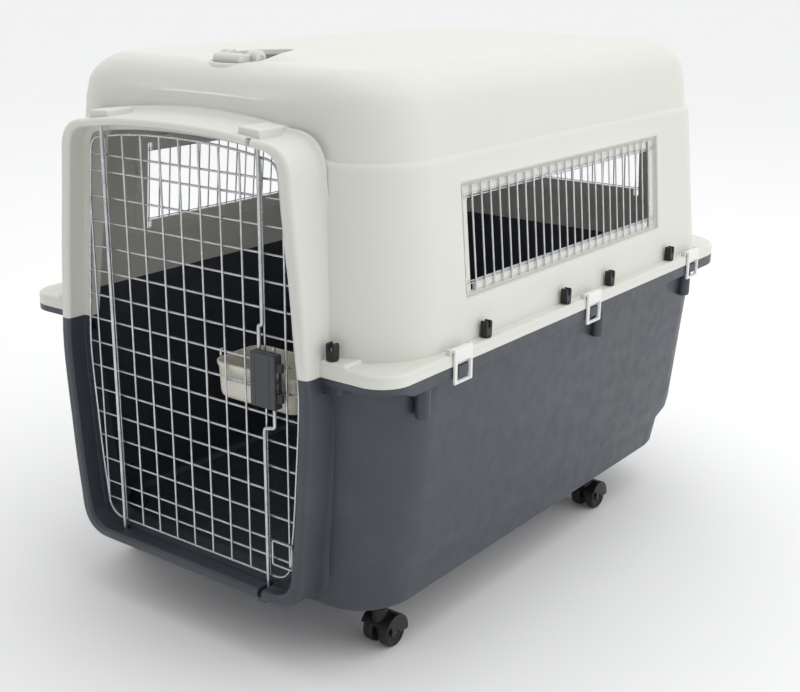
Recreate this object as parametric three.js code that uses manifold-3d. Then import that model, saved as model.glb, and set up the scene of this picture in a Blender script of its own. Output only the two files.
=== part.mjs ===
// Large wire-door transport kennel on swivel casters.
// Millimetres, +Z up, the door faces -Y. The origin is on the floor under the middle of the kennel.
import * as THREE from 'three';
import { mergeVertices } from 'three/addons/utils/BufferGeometryUtils.js';
import Module from 'manifold-3d';

const wasm = await Module();
wasm.setup();

// ---- Driving dimensions -------------------------------------------------------------------

const GAP = 0.3; // between pieces that touch
const HALF_LENGTH = 501.5;
const SEAM = 415; // height of the joint between the two shells
const WALL = 4;
const CORNER_STEPS = 5;
const ROUND = 10; // sides of small round pieces

// Outside of the moulded body at each height: half width, front, rear, corner radius.
const LOWER_BODY = [
  { z: 77, half: 277, front: -437, rear: 399, radius: 72 },
  { z: 86, half: 286, front: -446, rear: 411, radius: 80 },
  { z: 126, half: 289, front: -449, rear: 427, radius: 84 },
  { z: 142, half: 293, front: -450, rear: 455, radius: 88 },
  { z: 160, half: 297, front: -451, rear: 458, radius: 92 },
  { z: SEAM, half: 318, front: -461, rear: 487, radius: 115 },
];
const UPPER_BODY = [
  { z: SEAM, half: 318, front: -461, rear: 487, radius: 115 },
  { z: 664, half: 296, front: -444, rear: 465, radius: 104 },
  { z: 674, half: 290, front: -438, rear: 459, radius: 100 },
  { z: 716, half: 286, front: -434, rear: 455, radius: 98 },
  { z: 740, half: 281, front: -429, rear: 450, radius: 95 },
  { z: 760, half: 266, front: -414, rear: 435, radius: 86 },
  { z: 770, half: 249, front: -397, rear: 418, radius: 76 },
  { z: 774, half: 229, front: -377, rear: 398, radius: 62 },
];
const ROOF_TOP = UPPER_BODY.at(-1).z;

// Flanges: the upper one rests on the lower one, and each has a lip that hangs from its edge.
const FLANGE = { half: 333, front: -477, rear: HALF_LENGTH, radius: 78, frontRadius: 42 };
const UPPER_FLANGE_TOP = SEAM + 16;
const LOWER_FLANGE_BOTTOM = SEAM - 17;

// Door: a flat grid of square mesh. Half widths of its outline at each height.
const DOOR_Y = -478.7;
const WIRE = 3;
const PITCH = 35;
const DOOR_BOTTOM = 119;
const DOOR_TOP = 675;
const DOOR_ARCH = 10;
const DOOR_SIDE = [
  [150, 178], [200, 184], [260, 189], [375, 196], [441, 191], [514, 185], [584, 177], [650, 170],
];
const ROWS = { lowest: 147, first: 171.5, count: 14, highest: 649 };
const ROD_X = 140; // hinge rod at -ROD_X, latch rods at +ROD_X
const ROD_RADIUS = 2.5;
const ROD_Y = DOOR_Y - WIRE / 2 - GAP - ROD_RADIUS;

// Hood: the raised surround of the doorway, and the doorway itself, as margins round the door.
const HOOD_RIM_Y = -HALF_LENGTH;
const HOOD_MARGIN = { side: 35, top: 22, bottom: 28, corner: 48 };
const RECESS_MARGIN = { side: 17, top: 12, bottom: 12, corner: 36 };
const DOORWAY_MARGIN = { side: 6, top: 4, bottom: 5, corner: 24 };
const STOP_Y = DOOR_Y + 5;

// Windows: the wall is set back round an opening that a wire grille covers.
const SIDE_WINDOW = { from: -266, to: 247, bottom: 505, top: 616 };
const REAR_WINDOW = { from: -172, to: 172, bottom: 505, top: 616 };
const GRILLE_BORDER = 15;
const GRILLE_PITCH = 21.5;
const GRILLE_WIRE = 3;
const WINDOW_LEAN = -5.05; // degrees: the upper walls lean inwards

// Pieces round the flange, by their place along Y or X.
const NUT_PLACES = [-255, -47, 85, 290];
const FRONT_NUT_X = 240;
const FRONT_NUT_Y = -467;
const NUT_INSET = 323.6;
const CLIP_PLACES = [-325, 16, 357];
// Finger nut: half width, height, depth, half width of its slot and height of its hub.
const NUT = { half: 8, height: 24, depth: 12, slot: 2.6, hub: 12 };
const BOSS_PLACES = [-388, 61, 366];
const CLIP = {
  width: 40, bottom: 391, top: 435, thick: 4, windowWidth: 27, windowHeight: 24, barrel: 3, ear: 4,
};

// Carry handle: it lies in a scoop that narrows to the rear. A low seat on the roof rises behind it.
const HANDLE = { y: -358, z: 776.5, half: 24, reach: 24, pin: 3.2, ear: 9 };
const SCOOP = { y: -331, halfX: 36, halfY: 69, taper: 0.45, rim: 781.5, depth: 38 };
const SEAT = [{ z: 760, margin: 20 }, { z: 770, margin: 24 }, { z: 778, margin: 17 }, { z: 781.5, margin: 8 }];
const SEAT_SLOPE = { from: -390, to: -315, drop: 9.5 };

// Casters.
const CASTER_PLACES = [
  ['front_left', -238, -368], ['front_right', 238, -368],
  ['rear_left', -240, 205], ['rear_right', 240, 205],
];
const WHEEL = { radius: 22, width: 15.5, bore: 3.5, trail: 9, spacing: 13 };

// ---- Colours --------------------------------------------------------------------------------

const WHITE = { color: 0xdedfd7, roughness: 0.5, metalness: 0 };
const SLATE = { color: 0x565b63, roughness: 0.55, metalness: 0 };
const ZINC = { color: 0xb4b5b8, roughness: 0.35, metalness: 0.9 };
const BLACK = { color: 0x1c1c1d, roughness: 0.6, metalness: 0 };
const CHARCOAL = { color: 0x3a3c3e, roughness: 0.5, metalness: 0 };
const CREAM = { color: 0xd8d7cb, roughness: 0.5, metalness: 0 };

// ---- Solids ---------------------------------------------------------------------------------

function toSolid(geometry) {
  const bare = geometry.clone();
  bare.deleteAttribute('normal');
  bare.deleteAttribute('uv');
  const merged = mergeVertices(bare, 1e-3);
  return new wasm.Manifold(new wasm.Mesh({
    numProp: 3,
    vertProperties: new Float32Array(merged.attributes.position.array),
    triVerts: new Uint32Array(merged.index.array),
  }));
}

function toGeometry(solid) {
  const mesh = solid.getMesh();
  const geometry = new THREE.BufferGeometry();
  geometry.setAttribute('position', new THREE.BufferAttribute(new Float32Array(mesh.vertProperties), 3));
  geometry.setIndex(new THREE.BufferAttribute(new Uint32Array(mesh.triVerts), 1));
  return geometry;
}

function box(low, high) {
  const size = high.map((value, axis) => value - low[axis]);
  const geometry = new THREE.BoxGeometry(...size);
  geometry.translate(...low.map((value, axis) => value + size[axis] / 2));
  return toSolid(geometry);
}

// A cylinder along an axis, 'x', 'y' or 'z', centred on a point.
function rod(axis, radius, length, centre, sides = ROUND) {
  const geometry = new THREE.CylinderGeometry(radius, radius, length, sides);
  if (axis === 'x') geometry.rotateZ(Math.PI / 2);
  if (axis === 'z') geometry.rotateX(Math.PI / 2);
  geometry.translate(...centre);
  return toSolid(geometry);
}

// A flat outline in X and Z, extruded along Y between two depths.
function slab(outline, fromY, toY, holes = []) {
  const shape = new THREE.Shape(outline);
  shape.holes = holes.map((hole) => new THREE.Path(hole));
  const geometry = new THREE.ExtrudeGeometry(shape, { depth: toY - fromY, bevelEnabled: false });
  geometry.rotateX(Math.PI / 2);
  geometry.translate(0, toY, 0);
  return toSolid(geometry);
}

// Closed skin over rings with the same number of points.
function loft(rings) {
  const count = rings[0].length;
  const points = rings.flat();
  const faces = [];
  for (let level = 0; level + 1 < rings.length; level += 1) {
    for (let i = 0; i < count; i += 1) {
      const a = level * count + i;
      const b = level * count + (i + 1) % count;
      faces.push(a, b, b + count, a, b + count, a + count);
    }
  }
  const last = (rings.length - 1) * count;
  for (let i = 1; i + 1 < count; i += 1) {
    faces.push(0, i + 1, i);
    faces.push(last, last + i, last + i + 1);
  }
  const geometry = new THREE.BufferGeometry().setFromPoints(points);
  geometry.setIndex(faces);
  return toSolid(geometry);
}

// Rounded rectangle at one height, counterclockwise from above.
function ring({ half, front, rear, radius, frontRadius = radius }, z, inset = 0) {
  const near = Math.max(frontRadius - inset, 2);
  const far = Math.max(radius - inset, 2);
  const x = half - inset;
  const corners = [
    [x - near, front + inset + near, near, -90], [x - far, rear - inset - far, far, 0],
    [far - x, rear - inset - far, far, 90], [near - x, front + inset + near, near, 180],
  ];
  return corners.flatMap(([cx, cy, round, start]) => Array.from({ length: CORNER_STEPS + 1 }, (_, k) => {
    const angle = THREE.MathUtils.degToRad(start + 90 * k / CORNER_STEPS);
    return new THREE.Vector3(cx + round * Math.cos(angle), cy + round * Math.sin(angle), z);
  }));
}

function body(levels, inset, lift) {
  return loft(levels.map((level) => ring(level, level.z + lift, inset)));
}

function eachSide(make) {
  return [-1, 1].map(make).reduce((all, piece) => all.add(piece));
}

function above(z) {
  return box([-600, -600, z], [600, 600, 900]);
}

function below(z) {
  return box([-600, -600, -50], [600, 600, z]);
}

// ---- Door outline ---------------------------------------------------------------------------

// The door's outline, grown by a margin. It is symmetric, with an arched top and round corners.
function doorOutline({ side, top, bottom, corner }) {
  const sides = DOOR_SIDE.map(([z, half]) => new THREE.Vector2(half + side, z));
  const low = new THREE.Vector2(DOOR_SIDE[0][1] + side - 4, DOOR_BOTTOM - bottom);
  const high = new THREE.Vector2(DOOR_SIDE.at(-1)[1] + side, DOOR_TOP + top);
  const path = new THREE.Path();
  path.moveTo(low.x - corner, low.y);
  path.quadraticCurveTo(low.x, low.y, sides[0].x, low.y + corner);
  sides
    .filter((point) => point.y > low.y + corner + 1 && point.y < high.y - corner - 1)
    .forEach((point) => path.lineTo(point.x, point.y));
  path.lineTo(high.x, high.y - corner);
  path.quadraticCurveTo(high.x, high.y, high.x - corner, high.y);
  path.quadraticCurveTo(high.x / 2, high.y + DOOR_ARCH, 0, high.y + DOOR_ARCH);
  const right = path.getPoints(CORNER_STEPS);
  const left = right.slice(0, -1).reverse().map((point) => new THREE.Vector2(-point.x, point.y));
  return [...right, ...left];
}

const doorEdge = doorOutline({ side: 0, top: 0, bottom: 0, corner: 26 });

// ---- Shells ---------------------------------------------------------------------------------

// Single-walled hood: its outer skin, its jamb and the rim between them.
function hood() {
  const outer = doorOutline(HOOD_MARGIN);
  const outerInside = doorOutline(shrink(HOOD_MARGIN));
  const jambOutside = doorOutline(grow(RECESS_MARGIN));
  const block = slab(outer, HOOD_RIM_Y, LOWER_BODY[0].front + 8);
  const hollow = slab(outerInside, HOOD_RIM_Y + WALL, 0).subtract(slab(jambOutside, HOOD_RIM_Y - 1, 1));
  return { block, hollow };
}

function grow(margin) {
  const { side, top, bottom, corner } = margin;
  return { side: side + WALL, top: top + WALL, bottom: bottom + WALL, corner };
}

function shrink(margin) {
  const { side, top, bottom, corner } = margin;
  return { side: side - WALL, top: top - WALL, bottom: bottom - WALL, corner };
}

const { block: hoodBlock, hollow: hoodHollow } = hood();
const recessCut = slab(doorOutline(RECESS_MARGIN), HOOD_RIM_Y - 5, STOP_Y);
const doorwayCut = slab(doorOutline(DOORWAY_MARGIN), HOOD_RIM_Y - 5, -300);

// Keeper notches that the rod ends stand in: closed in front of the hinge rod, open in front of the
// latch rods. Low pads on top of the hood thicken it above them.
const NOTCH = { half: 3.6, top: DOOR_TOP + 24, bottom: DOOR_BOTTOM - 23 };
const PAD = { from: 113, to: 154, top: 711, slope: 4, front: HOOD_RIM_Y + 10 };
const notches = [-ROD_X, ROD_X]
  .flatMap((x) => {
    const front = x < 0 ? ROD_Y - 4.5 : HOOD_RIM_Y - 5;
    return [
      box([x - NOTCH.half, front, DOOR_TOP - 4], [x + NOTCH.half, STOP_Y, NOTCH.top]),
      box([x - NOTCH.half, front, NOTCH.bottom], [x + NOTCH.half, STOP_Y, DOOR_BOTTOM]),
    ];
  })
  .reduce((all, cut) => all.add(cut));

function hoodPads() {
  const { from, to, top, slope, front } = PAD;
  const outline = [[from, 690], [to, 688], [to - slope, top - 2], [from + slope, top]];
  const pad = slab(outline.map(([x, z]) => new THREE.Vector2(x, z)), front, UPPER_BODY[1].front + 6);
  return pad.add(pad.mirror([1, 0, 0]));
}

// A flange: a flat plate with a lip at its outer edge, open underneath.
function flange(plateBottom, plateTop, lipBottom) {
  const plate = loft([ring(FLANGE, plateBottom), ring(FLANGE, plateTop)]);
  const lip = loft([ring(FLANGE, lipBottom), ring(FLANGE, plateTop)])
    .subtract(loft([ring(FLANGE, lipBottom - 1, WALL), ring(FLANGE, plateTop + 1, WALL)]));
  return plate.add(lip);
}

const BOLT_RADIUS = 3;
const boltPlaces = [
  ...[-1, 1].flatMap((side) => NUT_PLACES.map((y) => [side * NUT_INSET, y])),
  ...[-1, 1].map((side) => [side * FRONT_NUT_X, FRONT_NUT_Y]),
];

function boltHoles(fromZ, toZ) {
  const middle = (fromZ + toZ) / 2;
  return boltPlaces
    .map(([x, y]) => rod('z', BOLT_RADIUS + 0.5, toZ - fromZ, [x, y, middle], 8))
    .reduce((all, hole) => all.add(hole));
}

const CATCH = { width: 22, bottom: 400, height: 19, proud: 3.4 };
const SOCKET = { radius: 15, bore: 6, top: 108, bottom: 66 };

function lowerShell() {
  const outside = body(LOWER_BODY, 0, 0);
  const inside = loft([
    ...LOWER_BODY.map((level, i) => ring(level, level.z + (i === 0 ? WALL : 0), WALL)),
    ring(LOWER_BODY.at(-1), SEAM + 5, WALL),
  ]);
  const bosses = eachSide((side) => BOSS_PLACES
    .map((y) => rod('z', 10, 54, [side * 319, y, 383]))
    .reduce((all, piece) => all.add(piece)));
  const catches = eachSide((side) => CLIP_PLACES
    .map((y) => {
      const from = side * (FLANGE.half - 2);
      const to = side * (FLANGE.half + CATCH.proud);
      return box(
        [Math.min(from, to), y - CATCH.width / 2, CATCH.bottom],
        [Math.max(from, to), y + CATCH.width / 2, CATCH.bottom + CATCH.height - 5],
      );
    })
    .reduce((all, piece) => all.add(piece)));
  const socketHeight = SOCKET.top - SOCKET.bottom;
  const socketMiddle = (SOCKET.top + SOCKET.bottom) / 2;
  const sockets = CASTER_PLACES
    .map(([, x, y]) => rod('z', SOCKET.radius, socketHeight, [x, y, socketMiddle]))
    .reduce((all, piece) => all.add(piece));
  const lowerKeeper = box([ROD_X - 8, HOOD_RIM_Y + 3, 88], [ROD_X + 8, STOP_Y, DOOR_BOTTOM - 14]);
  const bores = CASTER_PLACES
    .map(([, x, y]) => rod('z', SOCKET.bore, socketHeight, [x, y, socketMiddle - 6]))
    .reduce((all, piece) => all.add(piece));
  return outside
    .add(hoodBlock)
    .add(flange(SEAM - WALL, SEAM, LOWER_FLANGE_BOTTOM))
    .add(bosses)
    .subtract(inside)
    .add(sockets)
    .subtract(hoodHollow)
    .add(lowerKeeper)
    .subtract(recessCut)
    .subtract(doorwayCut)
    .subtract(notches)
    .add(catches)
    .subtract(bores)
    .subtract(boltHoles(LOWER_FLANGE_BOTTOM, SEAM + 1))
    .intersect(below(SEAM - GAP / 2));
}

function upperWallOffset(z) {
  const low = UPPER_BODY[0];
  const high = UPPER_BODY[1];
  return (low.half - high.half) * (z - low.z) / (high.z - low.z);
}

const WINDOW_MIDDLE = (SIDE_WINDOW.bottom + SIDE_WINDOW.top) / 2;
const RECESS_DEPTH = 5;

// A window's parts are made lying against the plane X = 0, then leaned and moved to the wall.
function ontoWall(solid, wall) {
  const place = new THREE.Matrix4();
  const lean = THREE.MathUtils.degToRad(WINDOW_LEAN);
  const offset = upperWallOffset(WINDOW_MIDDLE);
  if (wall === 'rear') {
    place.makeTranslation(0, UPPER_BODY[0].rear - offset, WINDOW_MIDDLE);
    place.multiply(new THREE.Matrix4().makeRotationZ(Math.PI / 2));
  } else {
    place.makeTranslation((wall === 'right' ? 1 : -1) * (UPPER_BODY[0].half - offset), 0, WINDOW_MIDDLE);
    if (wall === 'left') place.multiply(new THREE.Matrix4().makeRotationZ(Math.PI));
  }
  place.multiply(new THREE.Matrix4().makeRotationY(lean));
  return solid.transform(place.elements);
}

// Along the wall the left window runs the other way, and so do the rear window's ends.
function spanOn(wall, { from, to }) {
  return wall === 'left' ? [-to, -from] : [from, to];
}

function windowHole(wall, window) {
  const [from, to] = spanOn(wall, window);
  const halfHeight = (window.top - window.bottom) / 2;
  const recess = box(
    [-RECESS_DEPTH, from - GRILLE_BORDER - 3, -halfHeight - GRILLE_BORDER - 3],
    [20, to + GRILLE_BORDER + 3, halfHeight + GRILLE_BORDER + 3],
  );
  const opening = box([-30, from, -halfHeight], [20, to, halfHeight]);
  return ontoWall(recess.add(opening), wall);
}

// The wall stays one thickness deep behind the recess.
function windowBacking(wall, window) {
  const [from, to] = spanOn(wall, window);
  const halfHeight = (window.top - window.bottom) / 2;
  const margin = GRILLE_BORDER + 3 + WALL;
  return ontoWall(box(
    [-RECESS_DEPTH - WALL, from - margin, -halfHeight - margin],
    [-1, to + margin, halfHeight + margin],
  ), wall);
}

const WINDOWS = { right: SIDE_WINDOW, left: SIDE_WINDOW, rear: REAR_WINDOW };

// Rim of the handle's scoop, grown by a margin: an egg with its narrow end to the rear.
function scoopRing(z, margin, scale = 1) {
  const { y, halfX, halfY, taper } = SCOOP;
  const steps = 24;
  return Array.from({ length: steps }, (_, k) => {
    const angle = 2 * Math.PI * k / steps;
    const across = Math.sin(angle) * (halfX * scale * (1 - taper * Math.cos(angle)) + margin);
    const along = Math.cos(angle) * (halfY * scale + margin);
    return new THREE.Vector3(-across, y + along, z);
  });
}

function scoop(margin) {
  const levels = [[1, 0.6], [0.85, 0.8], [0.5, 0.95], [0, 1], [-0.6, 1]];
  return loft(levels.map(([deep, scale]) => (
    scoopRing(SCOOP.rim - deep * SCOOP.depth - margin, margin, scale)
  )));
}

// The seat is highest at the rear and sinks into the roof at the front.
function handleSeat() {
  const { from, to, drop } = SEAT_SLOPE;
  const base = SEAT[0].z;
  return loft(SEAT.map(({ z, margin }) => {
    const plain = scoopRing(z, 0);
    const grown = scoopRing(z, margin);
    return plain.map((point, i) => {
      const rear = THREE.MathUtils.smoothstep(point.y, from, to);
      const place = point.clone().lerp(grown[i], 0.2 + 0.8 * rear);
      place.z -= (1 - rear) * drop * (z - base) / (SCOOP.rim - base);
      return place;
    });
  }));
}

// Finger hole behind the handle's axis: it goes through the roof, and the scoop is open under it.
function fingerHole() {
  const mouth = loft([scoopRing(700, -2), scoopRing(800, -2)]);
  const under = loft([scoopRing(700, 6), scoopRing(774.5, 6)]);
  return mouth.add(under).intersect(box([-60, HANDLE.y + 17, 690], [60, 0, 810]));
}

const KNUCKLE = { radius: 9.6, width: 10 };

// Two ears stand in the scoop and hold the handle's stub pins.
function handleEars() {
  const { y, z, half, pin, ear } = HANDLE;
  return eachSide((side) => {
    const from = side * (half + GAP);
    const to = side * (half + GAP + ear);
    return rod('x', 10, ear, [(from + to) / 2, y, z], 16)
      .add(box([Math.min(from, to), y - 10, z - 30], [Math.max(from, to), y + 10, z]));
  }).subtract(rod('x', pin + GAP, 72, [0, y, z]));
}

// Ears on the flange's edge at both ends of each snap clip's barrel.
function clipEars() {
  const { width, barrel, ear } = CLIP;
  const ears = [];
  for (const side of [-1, 1]) {
    for (const y of CLIP_PLACES) {
      for (const end of [-1, 1]) {
        const x = side * (FLANGE.half - 4);
        const near = y + end * (width / 2 + GAP);
        const far = near + end * ear;
        ears.push(box(
          [x - 4, Math.min(near, far), UPPER_FLANGE_TOP - 1],
          [x + 4, Math.max(near, far), UPPER_FLANGE_TOP + 2 * barrel + 1],
        ));
      }
    }
  }
  return ears.reduce((all, piece) => all.add(piece));
}

function upperShell() {
  const outside = body(UPPER_BODY, 0, 0);
  const inside = loft([
    ring(UPPER_BODY[0], SEAM - 5, WALL),
    ...UPPER_BODY.map((level) => ring(level, level.z - (level.z > SEAM ? WALL : 0), WALL)),
  ]);
  const nutPads = eachSide((side) => box(
    [side * FRONT_NUT_X - 26, FLANGE.front, UPPER_FLANGE_TOP - 2],
    [side * FRONT_NUT_X + 26, FLANGE.front + 37, UPPER_FLANGE_TOP + 5],
  ));
  let shell = outside
    .add(hoodBlock)
    .add(handleSeat())
    .add(flange(UPPER_FLANGE_TOP - WALL, UPPER_FLANGE_TOP, SEAM))
    .add(nutPads)
    .add(clipEars())
    .subtract(inside);
  for (const [wall, window] of Object.entries(WINDOWS)) {
    shell = shell.add(windowBacking(wall, window));
  }
  for (const [wall, window] of Object.entries(WINDOWS)) {
    shell = shell.subtract(windowHole(wall, window));
  }
  return shell
    .add(scoop(WALL).intersect(outside.add(handleSeat())))
    .subtract(scoop(0))
    .add(handleEars())
    .subtract(fingerHole())
    .subtract(hoodHollow)
    .add(hoodPads())
    .subtract(recessCut)
    .subtract(doorwayCut)
    .subtract(notches)
    .subtract(boltHoles(SEAM, UPPER_FLANGE_TOP + 10))
    .intersect(above(SEAM + GAP / 2));
}

// ---- Wire pieces ----------------------------------------------------------------------------

// A window grille lies in its recess: a frame with close upright wires.
function windowGrille(wall, window) {
  const [from, to] = spanOn(wall, window).map((end, i) => end + (i === 0 ? -1 : 1) * GRILLE_BORDER);
  const high = (window.top - window.bottom) / 2 + GRILLE_BORDER;
  const back = -RECESS_DEPTH + GAP;
  const front = back + GRILLE_WIRE;
  const count = Math.round((to - from) / GRILLE_PITCH);
  const pitch = (to - from - GRILLE_WIRE) / count;
  let solid = box([back, from, high - GRILLE_WIRE], [front, to, high])
    .add(box([back, from, -high], [front, to, -high + GRILLE_WIRE]));
  for (let i = 0; i <= count; i += 1) {
    const left = from + i * pitch;
    solid = solid.add(box([back, left, -high], [front, left + GRILLE_WIRE, high]));
  }
  return ontoWall(solid, wall);
}

const rowHeights = [
  ROWS.lowest, ...Array.from({ length: ROWS.count }, (_, i) => ROWS.first + i * PITCH), ROWS.highest,
];

// The square mesh and its edge wire, as one flat grid.
function doorGrid() {
  const front = DOOR_Y - WIRE / 2;
  const inner = doorOutline({ side: -WIRE, top: -WIRE, bottom: -WIRE, corner: 24 });
  const edge = slab(doorEdge, front, front + WIRE, [inner]);
  const plate = slab(doorOutline({ side: -1, top: -1, bottom: -1, corner: 25 }), front, front + WIRE);
  let bars = null;
  for (let column = -5; column <= 5; column += 1) {
    const x = column * PITCH;
    const bar = box([x - WIRE / 2, front, 0], [x + WIRE / 2, front + WIRE, 900]);
    bars = bars ? bars.add(bar) : bar;
  }
  for (const z of rowHeights) {
    bars = bars.add(box([-300, front, z - WIRE / 2], [300, front + WIRE, z + WIRE / 2]));
  }
  return edge.add(bars.intersect(plate));
}

// Round wire along straight runs joined by small bends.
class Wire extends THREE.CurvePath {
  constructor(points, bend) {
    super();
    let last = points[0];
    points.slice(1, -1).forEach((corner, i) => {
      const into = corner.clone().sub(points[i]).setLength(bend);
      const out = points[i + 2].clone().sub(corner).setLength(bend);
      const begin = corner.clone().sub(into);
      const finish = corner.clone().add(out);
      this.add(new THREE.LineCurve3(last, begin));
      this.add(new THREE.QuadraticBezierCurve3(begin, corner, finish));
      last = finish;
    });
    this.add(new THREE.LineCurve3(last, points.at(-1)));
  }
}

function wire(points, radius, step, bend = 5, sides = 8) {
  const path = new Wire(points.map((point) => new THREE.Vector3(...point)), bend);
  const section = Array.from({ length: sides }, (_, k) => {
    const angle = 2 * Math.PI * k / sides;
    return new THREE.Vector2(radius * Math.cos(angle), radius * Math.sin(angle));
  });
  const geometry = new THREE.ExtrudeGeometry(new THREE.Shape(section), {
    steps: Math.ceil(path.getLength() / step), extrudePath: path,
  });
  return toSolid(geometry);
}

// ---- Latch ----------------------------------------------------------------------------------

const LATCH = { left: 128, right: 170, bottom: 362, top: 434, front: -495.5, wall: 2.5 };
const LATCH_BACK = DOOR_Y - WIRE / 2 - GAP;
const UPPER_ROD_X = 134;
const LOWER_ROD_X = 158;
const TRAVEL = 12;
const TAB = { front: -492, back: ROD_Y - ROD_RADIUS - GAP, height: 12, tip: 178 };
const UPPER_TAB_Z = 418;
const LOWER_TAB_Z = 378;
const SLOT_LENGTH = TAB.height + TRAVEL + 2;

function latchHousing() {
  const { left, right, bottom, top, front, wall } = LATCH;
  const rodHoles = [[UPPER_ROD_X, top], [LOWER_ROD_X, top], [LOWER_ROD_X, bottom]]
    .map(([x, z]) => box([x - 3.5, ROD_Y - 3.5, z - 6], [x + 3.5, LATCH_BACK + 1, z + 6]));
  const slots = [UPPER_TAB_Z + TAB.height / 2 + 1 - SLOT_LENGTH, LOWER_TAB_Z - TAB.height / 2 - 1]
    .map((z) => box([right - 5, TAB.front - 0.8, z], [right + 1, TAB.back + 0.8, z + SLOT_LENGTH]));
  let solid = box([left, front, bottom], [right, LATCH_BACK, top])
    .subtract(box([left + wall, front + wall, bottom + wall], [right - wall, LATCH_BACK + 1, top - wall]));
  for (const cut of [...rodHoles, ...slots]) solid = solid.subtract(cut);
  return solid;
}

// A finger tab: a block in front of its rod, with a tip that stands out through the housing's side.
function latchTab(z) {
  const low = z - TAB.height / 2;
  const high = z + TAB.height / 2;
  return box([LATCH.left + 4, TAB.front, low], [TAB.tip, TAB.back, high]);
}

// Compression spring between the two tabs, on an axis parallel to the rods.
function latchSpring() {
  const radius = 3.1;
  const turns = 5;
  const from = LOWER_TAB_Z + TAB.height / 2 + 1.2;
  const to = UPPER_TAB_Z - TAB.height / 2 - 1.2;
  class Helix extends THREE.Curve {
    getPoint(t) {
      const angle = 2 * Math.PI * turns * t;
      return new THREE.Vector3(
        (LATCH.left + LATCH.right) / 2 + radius * Math.cos(angle),
        (TAB.front + TAB.back) / 2 + radius * Math.sin(angle),
        from + (to - from) * t,
      );
    }
  }
  const section = Array.from({ length: 5 }, (_, k) => (
    new THREE.Vector2(0.6 * Math.cos(2 * Math.PI * k / 5), 0.6 * Math.sin(2 * Math.PI * k / 5))
  ));
  return toSolid(new THREE.ExtrudeGeometry(new THREE.Shape(section), {
    steps: turns * 8, extrudePath: new Helix(),
  }));
}

const ROD_TOP = NOTCH.top - 3;
const ROD_BOTTOM = NOTCH.bottom + 2;

function hingeRod() {
  return rod('z', ROD_RADIUS, ROD_TOP - ROD_BOTTOM, [-ROD_X, ROD_Y, (ROD_TOP + ROD_BOTTOM) / 2]);
}

function upperLatchRod() {
  return wire([
    [UPPER_ROD_X, ROD_Y, LATCH.bottom + 16], [UPPER_ROD_X, ROD_Y, 459],
    [ROD_X, ROD_Y, 470], [ROD_X, ROD_Y, ROD_TOP],
  ], ROD_RADIUS, 12);
}

function lowerLatchRod() {
  return wire([
    [ROD_X, ROD_Y, ROD_BOTTOM], [ROD_X, ROD_Y, 320],
    [LOWER_ROD_X, ROD_Y, 333], [LOWER_ROD_X, ROD_Y, LATCH.top + 6],
  ], ROD_RADIUS, 12);
}

// Small bent strap that keeps the lower rod beside its wire.
function rodGuide() {
  const back = LATCH_BACK;
  const frame = box([146, back - 3, 138], [184, back, 176]);
  return frame.subtract(box([151, back - 5, 142], [180, back + 2, 172]));
}

// ---- Bowl -----------------------------------------------------------------------------------

const BOWL = { from: 36, to: 184, depth: 92, bottom: 347, top: 398, wall: 2.5 };
const BOWL_FRONT = DOOR_Y + WIRE / 2 + 4;

function bowl() {
  const middle = (BOWL.from + BOWL.to) / 2;
  const level = (z, inset) => {
    const halfX = (BOWL.to - BOWL.from) / 2;
    const frame = { half: halfX, front: BOWL_FRONT, rear: BOWL_FRONT + BOWL.depth, radius: 22 };
    return ring(frame, z, inset).map((point) => point.add(new THREE.Vector3(middle, 0, 0)));
  };
  const outside = loft([level(BOWL.bottom, 9), level(BOWL.bottom + 8, 3), level(BOWL.top, 0)]);
  const inside = loft([level(BOWL.bottom + BOWL.wall, 12), level(BOWL.bottom + 10, 3 + BOWL.wall),
    level(BOWL.top + 1, BOWL.wall)]);
  return outside.subtract(inside);
}

// Wire hanger: it rings the bowl's back rim and hooks over a row of the door's mesh.
function bowlHanger() {
  const hookRow = ROWS.first + 7 * PITCH;
  const between = DOOR_Y + WIRE / 2 + 2.2;
  const left = BOWL.from + 30;
  const right = BOWL.to - 30;
  const over = hookRow + WIRE / 2 + 2.4;
  const front = DOOR_Y - WIRE / 2 - 2.2;
  return wire([
    [left, front, over - 8], [left, front, over], [left, between, over], [left, between, BOWL.top - 20],
    [right, between, BOWL.top - 20], [right, between, over], [right, front, over], [right, front, over - 8],
  ], 1.4, 6, 1.6, 6);
}

// ---- Flange hardware --------------------------------------------------------------------------

// Finger nut: an upright block with a slot down to its hub, wide along X or Y.
function wingNut(alongY) {
  const { half, height, depth, slot, hub } = NUT;
  const outline = [
    [-half, 0], [half, 0], [half, height], [slot, height], [slot, hub], [-slot, hub], [-slot, height],
    [-half, height],
  ];
  const block = slab(outline.map(([x, z]) => new THREE.Vector2(x, z)), -depth / 2, depth / 2)
    .subtract(rod('z', BOLT_RADIUS + GAP, 60, [0, 0, 10]));
  return toGeometry(alongY ? block.rotate([0, 0, 90]) : block);
}

// Carriage bolt: a domed head under the lower flange and a shank up through both flanges.
function flangeBolt(headZ, tipZ) {
  const profile = [
    [0, headZ - 4], [4, headZ - 3], [5, headZ], [BOLT_RADIUS, headZ], [BOLT_RADIUS, tipZ], [0, tipZ],
  ];
  const geometry = new THREE.LatheGeometry(profile.map(([x, y]) => new THREE.Vector2(x, y)), 8);
  geometry.rotateX(Math.PI / 2);
  return geometry;
}

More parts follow.
